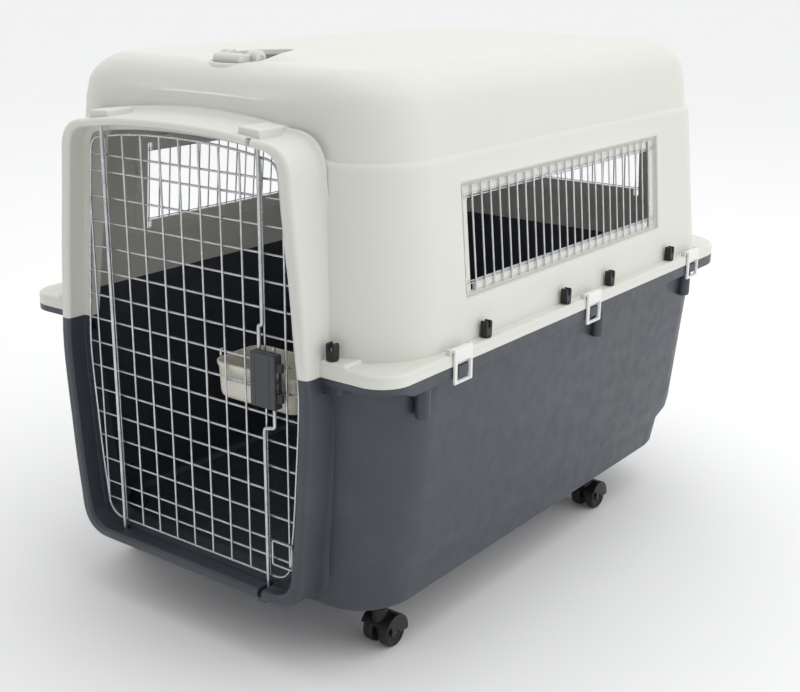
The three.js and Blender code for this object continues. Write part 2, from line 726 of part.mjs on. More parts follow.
// Snap clip: a square frame that hangs from the upper flange over the lower shell's catch.
function flangeClip() {
  const { width, bottom, top, thick, windowWidth, windowHeight, barrel } = CLIP;
  const windowMiddle = CATCH.bottom + (CATCH.height - 5) / 2;
  const axis = UPPER_FLANGE_TOP + GAP + barrel;
  return box([0, -width / 2, bottom], [thick, width / 2, top])
    .add(box([-barrel - GAP, -width / 2, axis - 1], [thick, width / 2, axis + barrel]))
    .add(rod('y', barrel, width, [-barrel - GAP, 0, axis], 8))
    .subtract(box(
      [-1, -windowWidth / 2, windowMiddle - windowHeight / 2],
      [thick + 1, windowWidth / 2, windowMiddle + windowHeight / 2],
    ));
}

// ---- Casters ---------------------------------------------------------------------------------

// Swivel housing: stem, collar, middle web and a hood over two wheels. The stem's axis is x = y = 0.
function casterHousing() {
  const { radius, width, trail, spacing, bore } = WHEEL;
  const middle = [0, trail, radius];
  const cover = rod('x', radius + 4, 2 * spacing + width + 5, middle, 14)
    .subtract(box([-60, -60, -60], [60, 90, radius - 3]))
    .subtract(box([-60, trail - 60, -60], [60, trail - radius * 0.55, radius + 12]));
  const stem = rod('z', SOCKET.bore - GAP, 66, [0, 0, radius + 42]);
  const collar = rod('z', 11, 24, [0, 0, radius + 25]);
  const web = rod('x', 13, 8, middle);
  const wheelSpace = eachSide((side) => (
    rod('x', radius + 1.5, width + 2.4, [side * spacing, trail, radius], 14)
  ));
  return cover
    .add(collar)
    .add(stem)
    .subtract(wheelSpace)
    .add(web)
    .subtract(rod('x', bore, 90, middle, 10));
}

function casterWheel() {
  const { radius, width, bore } = WHEEL;
  const half = width / 2;
  const profile = [
    [bore, -half], [radius - 3, -half], [radius, -half + 3], [radius, half - 3],
    [radius - 3, half], [bore, half], [bore, -half],
  ];
  const geometry = new THREE.LatheGeometry(profile.map(([x, y]) => new THREE.Vector2(x, y)), 16);
  geometry.rotateZ(Math.PI / 2);
  return geometry;
}

function casterAxle() {
  const radius = WHEEL.bore - GAP;
  const geometry = new THREE.CylinderGeometry(radius, radius, 2 * WHEEL.spacing + WHEEL.width, 10);
  geometry.rotateZ(Math.PI / 2);
  return geometry;
}

// ---- Roof handle -----------------------------------------------------------------------------

// A bail that lies in the scoop: two round knuckles, a broad grip in front of them, and stub pins.
function roofHandle() {
  const { half, reach, pin, ear } = HANDLE;
  const armX = half - KNUCKLE.width / 2;
  const knuckles = eachSide((side) => rod('x', KNUCKLE.radius, KNUCKLE.width, [side * armX, 0, 0], 16));
  const arms = eachSide((side) => box([side * armX - 5, -reach, -7], [side * armX + 5, 0, 5]));
  const grip = rod('x', 8, 2 * half, [0, -reach, -1], 12);
  const pinLength = ear + 6;
  const pins = eachSide((side) => rod('x', pin, pinLength, [side * (half - 6 + pinLength / 2), 0, 0]));
  return knuckles.add(arms).add(grip).add(pins);
}

// ---- Assembly ------------------------------------------------------------------------------

const kennel = new THREE.Group();

function addMesh(name, solidOrGeometry, finish, parent = kennel) {
  const geometry = solidOrGeometry.isBufferGeometry ? solidOrGeometry : toGeometry(solidOrGeometry);
  const mesh = new THREE.Mesh(geometry, new THREE.MeshStandardMaterial(finish));
  mesh.name = name;
  parent.add(mesh);
  return mesh;
}

addMesh('lower_shell', lowerShell(), SLATE);
addMesh('upper_shell', upperShell(), WHITE);
for (const [wall, window] of Object.entries(WINDOWS)) {
  addMesh(`window_grille_${wall}`, windowGrille(wall, window), ZINC);
}

const clipGeometry = toGeometry(flangeClip());
for (const [sideName, side] of [['left', -1], ['right', 1]]) {
  NUT_PLACES.forEach((y, i) => {
    addMesh(`wing_nut_${sideName}_${i + 1}`, wingNut(true), BLACK)
      .position.set(side * NUT_INSET, y, UPPER_FLANGE_TOP + GAP);
    addMesh(`flange_bolt_${sideName}_${i + 1}`, flangeBolt(SEAM - WALL - GAP, UPPER_FLANGE_TOP + 16), ZINC)
      .position.set(side * NUT_INSET, y, 0);
  });
  addMesh(`wing_nut_front_${sideName}`, wingNut(false), BLACK)
    .position.set(side * FRONT_NUT_X, FRONT_NUT_Y, UPPER_FLANGE_TOP + 5 + GAP);
  addMesh(`flange_bolt_front_${sideName}`, flangeBolt(SEAM - WALL - GAP, UPPER_FLANGE_TOP + 21), ZINC)
    .position.set(side * FRONT_NUT_X, FRONT_NUT_Y, 0);
  CLIP_PLACES.forEach((y, i) => {
    const clip = addMesh(`flange_clip_${sideName}_${i + 1}`, clipGeometry, WHITE);
    clip.position.set(side * (FLANGE.half + GAP), y, 0);
    if (side < 0) clip.rotation.z = Math.PI;
  });
}

const housingGeometry = toGeometry(casterHousing());
const wheelGeometry = casterWheel();
const axleGeometry = casterAxle();
for (const [place, x, y] of CASTER_PLACES) {
  const caster = new THREE.Group();
  caster.position.set(x, y, 0);
  kennel.add(caster);
  addMesh(`caster_housing_${place}`, housingGeometry, BLACK, caster);
  addMesh(`caster_axle_${place}`, axleGeometry, ZINC, caster)
    .position.set(0, WHEEL.trail, WHEEL.radius);
  addMesh(`caster_wheel_inner_${place}`, wheelGeometry, BLACK, caster)
    .position.set(-Math.sign(x) * WHEEL.spacing, WHEEL.trail, WHEEL.radius);
  addMesh(`caster_wheel_outer_${place}`, wheelGeometry, BLACK, caster)
    .position.set(Math.sign(x) * WHEEL.spacing, WHEEL.trail, WHEEL.radius);
}

addMesh('door_grid', doorGrid(), ZINC);
addMesh('door_hinge_rod', hingeRod(), ZINC);
addMesh('latch_housing', latchHousing(), CHARCOAL);
addMesh('latch_tab_upper', latchTab(UPPER_TAB_Z), CHARCOAL);
addMesh('latch_tab_lower', latchTab(LOWER_TAB_Z), CHARCOAL);
addMesh('latch_rod_upper', upperLatchRod(), ZINC);
addMesh('latch_rod_lower', lowerLatchRod(), ZINC);
addMesh('latch_spring', latchSpring(), ZINC);
addMesh('rod_guide', rodGuide(), ZINC);
addMesh('bowl', bowl(), CREAM);
addMesh('bowl_hanger', bowlHanger(), ZINC);

addMesh('roof_handle', roofHandle(), WHITE).position.set(0, HANDLE.y, HANDLE.z);

export default kennel;
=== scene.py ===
import math

import bmesh
import bpy
from mathutils import Matrix, Vector


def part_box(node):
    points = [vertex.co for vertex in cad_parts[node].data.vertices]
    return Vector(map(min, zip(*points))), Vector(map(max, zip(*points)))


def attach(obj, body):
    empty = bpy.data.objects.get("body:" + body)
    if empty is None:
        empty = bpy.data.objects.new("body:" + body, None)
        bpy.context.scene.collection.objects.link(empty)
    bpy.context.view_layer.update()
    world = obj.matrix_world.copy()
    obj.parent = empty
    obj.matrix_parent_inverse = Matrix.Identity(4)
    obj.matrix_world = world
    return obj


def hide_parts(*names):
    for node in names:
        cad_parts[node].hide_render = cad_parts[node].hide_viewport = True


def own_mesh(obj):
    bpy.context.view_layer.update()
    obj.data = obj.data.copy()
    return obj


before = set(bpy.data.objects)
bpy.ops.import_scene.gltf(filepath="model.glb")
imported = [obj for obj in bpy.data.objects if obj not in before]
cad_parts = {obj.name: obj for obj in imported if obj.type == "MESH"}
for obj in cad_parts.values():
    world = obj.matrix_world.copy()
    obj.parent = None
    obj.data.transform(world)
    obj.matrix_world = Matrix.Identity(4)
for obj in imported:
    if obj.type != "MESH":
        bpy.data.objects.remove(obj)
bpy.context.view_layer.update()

MM = 0.001  # lengths below are in millimetres unless they come from the frame

# ---- Driving dimensions ----
# Most are the solids' own. The nuts and the door's wire are slightly smaller here, and the body has more
# levels, rounded rims and a ridge that climbs over the hood.

SEAM = 415
WALL = 4
GAP = 0.3
HALF_LENGTH = 501.5
CORNER_STEPS = 16
STRAIGHT_STEPS = 10
WIRE_SIDES = 12

SEAM_OUTLINE = (318, -461, 487, 115)  # half width, front, rear and corner radius at the seam
ROOF_OUTLINE = (266, -414, 435, 86)  # the same at ROOF_EDGE, where the roof starts to round over
ROOF_EDGE = 760

# Outside of the moulded body at each height: height, half width, front, rear, corner radius.
LOWER_BODY = [
    (77, 272, -432, 394, 68), (78.5, 277, -437, 399, 72), (82, 282.5, -442.5, 406, 77),
    (88, 286.2, -446.2, 411, 80), (124, 289, -449, 425, 84), (128, 289.4, -449.1, 429, 84.5),
    (140, 292.7, -449.9, 453, 87.5), (144, 293.6, -450.1, 455.5, 88.5), (160, 297, -451, 458, 92),
    (SEAM, *SEAM_OUTLINE),
]
PANEL_Z = 716  # the wall above the ridge
UPPER_BODY = [
    (SEAM, *SEAM_OUTLINE), (540, 307, -452.5, 476, 109.5), (660, 296.4, -444.3, 465.4, 104),
    (665, 295.8, -443.7, 464.8, 103.7), (667.6, 294.6, -442.5, 463.6, 102.8),
    (669.4, 292.6, -440.5, 461.6, 101.4), (670.8, 290.8, -438.7, 459.8, 100.4),
    (676, 289.8, -437.8, 458.8, 100), (PANEL_Z, 286, -434, 455, 98), (738, 281.6, -429.6, 450.6, 95.4),
    (750, 275, -423, 444, 91.5), (ROOF_EDGE, *ROOF_OUTLINE), (766.5, 256.5, -404.5, 425.5, 80),
    (771, 245, -393, 414, 73), (773.4, 234, -382, 403, 65), (774, 222, -370, 391, 57),
]
PANEL_SHARE = 0.42
RIDGE = {"low": 655, "high": 690, "rise": 48, "crown": 130, "shoulder": 40, "full_x": 130, "end_x": 222,
         "front_y": -380}

FLANGE = {"half": 333, "front": -477, "rear": HALF_LENGTH, "radius": 78, "front_radius": 42}
UPPER_FLANGE_TOP = SEAM + 16
LOWER_FLANGE_BOTTOM = SEAM - 17

DOOR_Y = -478.7
WIRE_RADIUS = 1.45
PITCH = 35
DOOR_BOTTOM = 119
DOOR_TOP = 675
DOOR_ARCH = 10
DOOR_SIDE = [(110, 176), (150, 178), (200, 184), (260, 189), (375, 196), (441, 191), (514, 185),
             (584, 177), (650, 170), (700, 166)]
ROWS = [147] + [171.5 + PITCH * i for i in range(14)] + [649]
ROD_X = 140
ROD_RADIUS = 2.5
ROD_Y = -483.0
HOOD_RIM_Y = -HALF_LENGTH
HOOD = {"side": 35, "top": 22, "bottom": 28, "corner": 48}
RECESS = {"side": 17, "top": 12, "bottom": 12, "corner": 36}
DOORWAY = {"side": 6, "top": 4, "bottom": 5, "corner": 24}
STOP_Y = DOOR_Y + 5
RIM_ROLL = 7
MOUTH_ROLL = 5

SIDE_WINDOW = {"from": -266, "to": 247, "bottom": 505, "top": 616}
REAR_WINDOW = {"from": -172, "to": 172, "bottom": 505, "top": 616}
GRILLE_BORDER = 15
GRILLE_PITCH = 21.5
WINDOW_LEAN = math.radians(5.05)
WALL_TAPER = {"shrink": 22, "rise": 249}
RECESS_DEPTH = 5

NUT_PAD = {"x": 240, "half": 26, "depth": 37, "height": 5}
NUT = {"half": 7.2, "depth": 10.5, "slot": 2.4, "hub": 12}
BOSS_PLACES = [-388, 61, 366]
CLIP_PLACES = [-325, 16, 357]
HANDLE = {"y": -358, "z": 776.5, "half": 24, "reach": 24, "pin": 3.2, "ear": 9, "knuckle": 9.6}
SCOOP = {"y": -331, "half_x": 36, "half_y": 69, "taper": 0.45, "rim": 781.5, "depth": 38}
NOTCH = {"half": 3.6, "top": DOOR_TOP + 24, "bottom": DOOR_BOTTOM - 23}
PAD = {"from": 113, "to": 154, "top": 711, "front": HOOD_RIM_Y + 10}
SEAT_SLOPE = {"from": -390, "to": -315, "drop": 9.5}
SEAT_BASE = 760
SEAT_HEIGHT = 21.5
CASTER_PLACES = {"front_left": (-238, -368), "front_right": (238, -368),
                 "rear_left": (-240, 205), "rear_right": (240, 205)}
WHEEL = {"radius": 22, "width": 15.5, "trail": 9, "spacing": 13}

# ---- Mesh helpers ----------


def new_object(name, verts, faces):
    raw = bpy.data.meshes.new(name)
    raw.from_pydata([Vector(v) * MM for v in verts], [], faces)
    bm = bmesh.new()
    bm.from_mesh(raw)
    bpy.data.meshes.remove(raw)
    return from_bmesh(name, bm)


def loft(name, rings, closed=False):
    """A closed skin over rings with the same number of points; closed joins the last ring to the first."""
    count = len(rings[0])
    verts = [p for ring in rings for p in ring]
    faces = []
    spans = len(rings) if closed else len(rings) - 1
    for level in range(spans):
        a, b = level * count, (level + 1) % len(rings) * count
        for i in range(count):
            j = (i + 1) % count
            faces.append((a + i, a + j, b + j, b + i))
    if not closed:
        faces.append(tuple(reversed(range(count))))
        faces.append(tuple(range(len(verts) - count, len(verts))))
    return new_object(name, verts, faces)


def rounded_box(name, low, high, radius=1.0, segments=3, transform=None):
    bm = bmesh.new()
    bmesh.ops.create_cube(bm, size=1)
    size = [(high[i] - low[i]) * MM for i in range(3)]
    middle = [(high[i] + low[i]) / 2 * MM for i in range(3)]
    bmesh.ops.scale(bm, vec=size, verts=bm.verts)
    if radius:
        bmesh.ops.bevel(bm, geom=bm.edges, offset=radius * MM, segments=segments, profile=0.5,
                        affect="EDGES")
    bmesh.ops.translate(bm, vec=middle, verts=bm.verts)
    if transform:
        bmesh.ops.transform(bm, matrix=transform, verts=bm.verts)
    return from_bmesh(name, bm)


def from_bmesh(name, bm):
    bmesh.ops.recalc_face_normals(bm, faces=bm.faces)
    mesh = bpy.data.meshes.new(name)
    bm.to_mesh(mesh)
    bm.free()
    obj = bpy.data.objects.new(name, mesh)
    bpy.context.scene.collection.objects.link(obj)
    return obj


def prism(name, outline, axis, low, high, radius=0.0, segments=2):
    """An outline in the two axes other than `axis`, extruded along it, with rounded edges."""
    order = {"x": (1, 2, 0), "y": (0, 2, 1), "z": (0, 1, 2)}[axis]
    bm = bmesh.new()
    rows = []
    for depth in (low, high):
        row = []
        for u, v in outline:
            point = [0, 0, 0]
            point[order[0]], point[order[1]], point[order[2]] = u * MM, v * MM, depth * MM
            row.append(bm.verts.new(point))
        rows.append(row)
    count = len(outline)
    bm.faces.new(rows[0])
    bm.faces.new(rows[1])
    for i in range(count):
        j = (i + 1) % count
        bm.faces.new((rows[0][i], rows[0][j], rows[1][j], rows[1][i]))
    bmesh.ops.recalc_face_normals(bm, faces=bm.faces)
    if radius:
        sharp = [e for e in bm.edges if e.calc_face_angle(0) > math.radians(35)]
        bmesh.ops.bevel(bm, geom=sharp, offset=radius * MM, segments=segments, profile=0.5,
                        affect="EDGES", clamp_overlap=True)
    return from_bmesh(name, bm)


def lathe(name, profile, axis="z", centre=(0, 0, 0), steps=40):
    """A closed profile of (radius, height) pairs turned about an axis through centre."""
    rings = []
    for k in range(steps):
        angle = 2 * math.pi * k / steps
        ring = []
        for radius, height in profile:
            u, v = radius * math.cos(angle), radius * math.sin(angle)
            point = {"z": (u, v, height), "x": (height, u, v), "y": (u, height, v)}[axis]
            ring.append(tuple(point[i] + centre[i] for i in range(3)))
        rings.append(ring)
    bm = bmesh.new()
    obj = loft(name, rings, closed=True)
    bm.from_mesh(obj.data)
    bmesh.ops.remove_doubles(bm, verts=bm.verts, dist=1e-6)
    bmesh.ops.recalc_face_normals(bm, faces=bm.faces)
    bm.to_mesh(obj.data)
    bm.free()
    return obj


def soft_cylinder(name, radius, low, high, axis, centre, edge=1.0, steps=40):
    flat, near = radius - edge, radius - 0.3 * edge
    profile = [(0, low), (flat, low), (near, low + 0.3 * edge), (radius, low + edge),
               (radius, high - edge), (near, high - 0.3 * edge), (flat, high), (0, high)]
    return lathe(name, profile, axis, centre, steps)


def bent(points, bend, steps=6):
    """The polyline's corners replaced by small curves."""
    points = [Vector(p) for p in points]
    path = [points[0]]
    for before, corner, after in zip(points, points[1:], points[2:]):
        start = corner + (before - corner).normalized() * bend
        end = corner + (after - corner).normalized() * bend
        for k in range(steps + 1):
            t = k / steps
            path.append(start * (1 - t) ** 2 + corner * 2 * t * (1 - t) + end * t ** 2)
    path.append(points[-1])
    return path


def tube_data(path, radius, closed):
    """Vertices and faces of a round wire along a path, with slightly domed ends."""
    sides = WIRE_SIDES
    path = [Vector(p) for p in path]
    count = len(path)
    tangents = []
    for i in range(count):
        before = path[i - 1] if (closed or i > 0) else path[i]
        after = path[(i + 1) % count] if (closed or i + 1 < count) else path[i]
        tangents.append((after - before).normalized())
    side = tangents[0].orthogonal().normalized()
    verts, faces = [], []
    rings = []
    for i in range(count):
        if i:
            side = tangents[i - 1].rotation_difference(tangents[i]) @ side
        rings.append((path[i], tangents[i], side.copy(), radius))
    if not closed:
        first, last = rings[0], rings[-1]
        rings = [(first[0] - first[1] * radius * 0.35, first[1], first[2], radius * 0.6)] + rings
        rings += [(last[0] + last[1] * radius * 0.35, last[1], last[2], radius * 0.6)]
    for centre, tangent, across, r in rings:
        up = tangent.cross(across)
        for k in range(sides):
            angle = 2 * math.pi * k / sides
            verts.append(centre + (across * math.cos(angle) + up * math.sin(angle)) * r)
    total = len(rings)
    for i in range(total if closed else total - 1):
        a, b = i * sides, (i + 1) % total * sides
        for k in range(sides):
            j = (k + 1) % sides
            faces.append((a + k, a + j, b + j, b + k))
    if not closed:
        faces.append(tuple(reversed(range(sides))))
        faces.append(tuple(range(len(verts) - sides, len(verts))))
    return verts, faces


def wires(name, paths):
    """One object of several wires, each (path, radius, closed)."""
    verts, faces = [], []
    for path, radius, closed in paths:
        more, sides = tube_data(path, radius, closed)
        base = len(verts)
        verts += more
        faces += [tuple(base + i for i in face) for face in sides]
    return new_object(name, verts, faces)


def combine(target, others, operation):
    """Boolean join or cut with Blender's modifier, applied at once."""
    for other in others:
        modifier = target.modifiers.new("solid", "BOOLEAN")
        modifier.operation = operation
        modifier.solver = "MANIFOLD"
        modifier.object = other
        graph = bpy.context.evaluated_depsgraph_get()
        mesh = bpy.data.meshes.new_from_object(target.evaluated_get(graph))
        target.modifiers.clear()
        target.data = mesh
        bpy.data.objects.remove(other)
    return target


def join(target, *others):
    return combine(target, others, "UNION")


def cut(target, *others):
    return combine(target, others, "DIFFERENCE")


def smooth(obj, angle=28):
    mesh = obj.data
    for polygon in mesh.polygons:
        polygon.use_smooth = True
    mesh.set_sharp_from_angle(angle=math.radians(angle))
    weighted = obj.modifiers.new("weighted", "WEIGHTED_NORMAL")
    weighted.keep_sharp = True
    weighted.weight = 80


def finish_piece(obj, body, material, replaced, angle=28):
    smooth(obj, angle)
    obj.data.materials.clear()
    obj.data.materials.append(material)
    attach(obj, body)
    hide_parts(*replaced)
    return obj


# ---- Materials -------------


class Nodes:
    """A short way to write a material's node tree."""

    def __init__(self, name):
        self.material = bpy.data.materials.new(name)
        self.material.use_nodes = True
        self.tree = self.material.node_tree
        self.shader = self.tree.nodes["Principled BSDF"]
        self.place = self.add("ShaderNodeTexCoord").outputs["Object"]

    def add(self, kind, **inputs):
        node = self.tree.nodes.new(kind)
        for key, value in inputs.items():
            setattr(node, key, value)
        return node

    def link(self, a, b):
        self.tree.links.new(a, b)

    def noise(self, scale, detail=3.0, roughness=0.55, stretch=None):
        node = self.add("ShaderNodeTexNoise")
        node.inputs["Scale"].default_value = scale
        node.inputs["Detail"].default_value = detail
        node.inputs["Roughness"].default_value = roughness
        source = self.place
        if stretch:
            mapping = self.add("ShaderNodeMapping")
            mapping.inputs["Scale"].default_value = stretch
            self.link(self.place, mapping.inputs["Vector"])
            source = mapping.outputs["Vector"]
        self.link(source, node.inputs["Vector"])
        return node.outputs["Fac"]

    def span(self, value, low, high, to_low, to_high):
        node = self.add("ShaderNodeMapRange")
        for key, number in (("From Min", low), ("From Max", high), ("To Min", to_low), ("To Max", to_high)):
            node.inputs[key].default_value = number
        self.link(value, node.inputs["Value"])
        return node.outputs["Result"]

    def mix(self, factor, first, second):
        node = self.add("ShaderNodeMix", data_type="RGBA")
        self.link(factor, node.inputs["Factor"])
        for socket, colour in ((node.inputs[6], first), (node.inputs[7], second)):
            if isinstance(colour, tuple):
                socket.default_value = (*colour, 1)
            else:
                self.link(colour, socket)
        return node.outputs[2]

    def bump(self, heights, bevel=0.0):
        """heights is a list of (value, distance in metres)."""
        normal = None
        if bevel:
            node = self.add("ShaderNodeBevel", samples=4)
            node.inputs["Radius"].default_value = bevel
            normal = node.outputs["Normal"]
        for value, distance in heights:
            node = self.add("ShaderNodeBump")
            node.inputs["Distance"].default_value = distance
            node.inputs["Strength"].default_value = 1.0
            self.link(value, node.inputs["Height"])
            if normal:
                self.link(normal, node.inputs["Normal"])
            normal = node.outputs["Normal"]
        self.link(normal, self.shader.inputs["Normal"])


def tone(colour, factor):
    return tuple(min(c * factor, 1.0) for c in colour)


def linear(red, green, blue):
    """Scene-linear colour from the three sRGB values, 0 to 255."""
    shares = (c / 255 for c in (red, green, blue))
    return tuple(((c + 0.055) / 1.055) ** 2.4 if c > 0.04045 else c / 12.92 for c in shares)


def moulded_plastic(name, colour, rough, grain=0.00006, variation=0.06, dust=None, bevel=0.0012,
                    gloss=0.42):
    """Moulded plastic: spark-eroded grain, slow colour drift, paler convex edges and light dust."""
    n = Nodes(name)
    drift = n.span(n.noise(3.5, 4), 0.3, 0.7, 0.0, 1.0)
    base = n.mix(drift, tone(colour, 1 - variation), tone(colour, 1 + variation))
    speck = n.span(n.noise(900, 1), 0.62, 0.78, 0.0, 0.22)
    base = n.mix(speck, base, tone(colour, 0.84))
    edge = n.add("ShaderNodeNewGeometry").outputs["Pointiness"]
    base = n.mix(n.span(edge, 0.515, 0.57, 0.0, 0.3), base, tone(colour, 1.25))
    if dust:
        cloud = n.span(n.noise(14, 6, 0.65), 0.5, 0.78, 0.0, 0.3)
        base = n.mix(cloud, base, dust)
    n.link(base, n.shader.inputs["Base Color"])
    n.link(n.span(n.noise(45, 5), 0.3, 0.7, rough - 0.07, rough + 0.09), n.shader.inputs["Roughness"])
    n.shader.inputs["Specular IOR Level"].default_value = gloss
    n.bump([(n.noise(8, 2), 0.0006), (n.noise(650, 2), grain)], bevel)
    return n.material


def zinc_wire(name, colour, rough=0.27):
    """Bright plated wire: drawing streaks, a slightly clouded plating and darker flecks."""
    n = Nodes(name)
    cloud = n.span(n.noise(55, 5), 0.35, 0.7, 0.0, 1.0)
    base = n.mix(cloud, tone(colour, 0.84), tone(colour, 1.12))
    fleck = n.span(n.noise(420, 2), 0.66, 0.74, 0.0, 0.5)
    base = n.mix(fleck, base, tone(colour, 0.5))
    n.link(base, n.shader.inputs["Base Color"])
    n.shader.inputs["Metallic"].default_value = 0.92
    n.link(n.span(n.noise(120, 4), 0.3, 0.7, rough - 0.06, rough + 0.16), n.shader.inputs["Roughness"])
    n.bump([(n.noise(900, 2, stretch=(1, 1, 0.06)), 0.00004)])
    return n.material


def tread_rubber(name):
    n = Nodes(name)
    dust = n.span(n.noise(90, 6, 0.7), 0.45, 0.75, 0.0, 0.5)
    base = n.mix(dust, linear(24, 24, 25), linear(66, 64, 61))
    n.link(base, n.shader.inputs["Base Color"])
    n.link(n.span(n.noise(160, 3), 0.3, 0.7, 0.55, 0.8), n.shader.inputs["Roughness"])
    n.bump([(n.noise(700, 3), 0.00008)], 0.0008)
    return n.material


WHITE = moulded_plastic("shell_white", linear(219, 219, 211), 0.46, variation=0.012)
SLATE = moulded_plastic("shell_slate", linear(54, 59, 68), 0.42, variation=0.045,
                        dust=linear(80, 84, 91), gloss=0.6)
CLIP_WHITE = moulded_plastic("clip_white", linear(232, 232, 227), 0.36, 0.00003, 0.012, bevel=0.0005)
NUT_BLACK = moulded_plastic("nut_black", linear(30, 29, 29), 0.42, 0.00004, 0.08, bevel=0.0006)
CASTER_BLACK = moulded_plastic("caster_black", linear(27, 27, 28), 0.4, 0.00005, 0.08,
                               linear(52, 51, 50), 0.0006)
CHARCOAL = moulded_plastic("latch_charcoal", linear(62, 65, 68), 0.42, 0.00004, 0.05, bevel=0.0006)
CREAM = moulded_plastic("bowl_cream", linear(224, 221, 207), 0.33, 0.00002, 0.03,
                        linear(190, 178, 152), 0.0008)
ZINC = zinc_wire("door_zinc", (0.60, 0.61, 0.63))
WINDOW_ZINC = zinc_wire("window_zinc", (0.66, 0.67, 0.69), 0.3)
BOLT_ZINC = zinc_wire("bolt_zinc", (0.62, 0.63, 0.65), 0.3)
SPRING = zinc_wire("spring_wire", (0.50, 0.51, 0.53), 0.25)
TREAD = tread_rubber("caster_tread")

# ---- Outlines --------------


def smoothstep(value, start, end):
    t = max(0.0, min(1.0, (value - start) / (end - start)))
    return t * t * (3 - 2 * t)


def ring(half, front, rear, radius, z, inset=0.0, front_radius=None, rise=None):
    """Rounded rectangle at one height, counterclockwise, with points along its straight sides too."""
    near = max((front_radius or radius) - inset, 1.0)
    far = max(radius - inset, 1.0)
    half, front, rear = half - inset, front + inset, rear - inset
    corners = [(half - near, front + near, near, -90), (half - far, rear - far, far, 0),
               (far - half, rear - far, far, 90), (near - half, front + near, near, 180)]
    points = []
    for index, (cx, cy, r, start) in enumerate(corners):
        for k in range(CORNER_STEPS + 1):
            angle = math.radians(start + 90 * k / CORNER_STEPS)
            points.append((cx + r * math.cos(angle), cy + r * math.sin(angle)))
        nx, ny, nr, nstart = corners[(index + 1) % 4]
        angle = math.radians(nstart)
        end = (nx + nr * math.cos(angle), ny + nr * math.sin(angle))
        begin = points[-1]
        for k in range(1, STRAIGHT_STEPS):
            t = k / STRAIGHT_STEPS
            points.append((begin[0] + (end[0] - begin[0]) * t, begin[1] + (end[1] - begin[1]) * t))
    if rise:
        return [(x, y, z + rise(x, y)) for x, y in points]
    return [(x, y, z) for x, y in points]


def ridge_rise(x, y):
    """The ridge climbs over the hood at the front, with a slight crown."""
    if y > RIDGE["front_y"]:
        return 0.0
    crown = RIDGE["rise"] - (RIDGE["rise"] - RIDGE["shoulder"]) * min((x / RIDGE["crown"]) ** 2, 1)
    return crown * (1 - smoothstep(abs(x), RIDGE["full_x"], RIDGE["end_x"]))


def panel_rise(x, y):
    """The wall above the ridge follows it part of the way."""
    return ridge_rise(x, y) * PANEL_SHARE


def body_rings(levels, inset=0.0, lift_first=0.0, drop=0.0):
    rings = []
    for index, (z, half, front, rear, radius) in enumerate(levels):
        rise = ridge_rise if RIDGE["low"] < z < RIDGE["high"] else panel_rise if z == PANEL_Z else None
        height = z + (lift_first if index == 0 else 0) - (drop if z > SEAM else 0)
        rings.append(ring(half, front, rear, radius, height, inset, rise=rise))
    return rings


def door_half(z):
    """Half width of the door at a height: a smooth curve through DOOR_SIDE."""
    points = DOOR_SIDE
    z = max(points[0][0], min(points[-1][0], z))
    for i in range(len(points) - 1):
        if z <= points[i + 1][0]:
            break
    z0, h0 = points[max(i - 1, 0)]
    z1, h1 = points[i]
    z2, h2 = points[i + 1]
    z3, h3 = points[min(i + 2, len(points) - 1)]
    slope1 = (h2 - h0) / max(z2 - z0, 1)
    slope2 = (h3 - h1) / max(z3 - z1, 1)
    span = z2 - z1
    t = (z - z1) / span
    return ((2 * t ** 3 - 3 * t ** 2 + 1) * h1 + (t ** 3 - 2 * t ** 2 + t) * span * slope1
            + (-2 * t ** 3 + 3 * t ** 2) * h2 + (t ** 3 - t ** 2) * span * slope2)


def door_outline(margin, y, extra=0.0):
    """The door's outline grown by a margin, as points at one depth."""
    side, top, bottom = margin["side"] + extra, margin["top"] + extra, margin["bottom"] + extra
    corner = max(margin["corner"] + extra * 0.6, 2)
    low_z, high_z = DOOR_BOTTOM - bottom, DOOR_TOP + top
    low_x = door_half(150) + side - 4
    high_x = door_half(650) + side
    right = []
    for k in range(8):
        right.append(((low_x - corner) * k / 8, low_z))
    start, end = (low_x - corner, low_z), (door_half(low_z + corner) + side, low_z + corner)
    right += [quadratic(start, (low_x, low_z), end, k / 10) for k in range(10)]
    for k in range(25):
        z = low_z + corner + (high_z - low_z - 2 * corner) * k / 24
        right.append((door_half(z) + side, z))
    end = (high_x - corner, high_z)
    right += [quadratic(right[-1], (high_x, high_z), end, k / 10) for k in range(1, 10)]
    crown = (0, high_z + DOOR_ARCH)
    right += [quadratic(end, (high_x / 2, high_z + DOOR_ARCH), crown, k / 14) for k in range(15)]
    left = [(-x, z) for x, z in reversed(right[1:-1])]
    return [(x, y, z) for x, z in right + left]


def quadratic(a, b, c, t):
    return tuple(a[i] * (1 - t) ** 2 + 2 * b[i] * t * (1 - t) + c[i] * t * t for i in range(2))


def quarter(steps=6):
    """(sine, one minus cosine) pairs over a quarter turn."""
    angles = [math.pi / 2 * k / steps for k in range(steps + 1)]
    return [(math.sin(angle), 1 - math.cos(angle)) for angle in angles]


# ---- Shells ----------------


def hood_block():
    """The surround of the doorway: a rolled rim, and a flare where it meets the wall."""
    rings = [door_outline(HOOD, HOOD_RIM_Y + RIM_ROLL * c, RIM_ROLL * (s - 1)) for s, c in quarter()]
    flare = [(-478, 0.2), (-462, 0.4), (-456, 1.0), (-451, 2.6), (-447, 5.5), (-444, 10.0)]
    rings += [door_outline(HOOD, y, extra) for y, extra in flare]
    return loft("hood", rings)


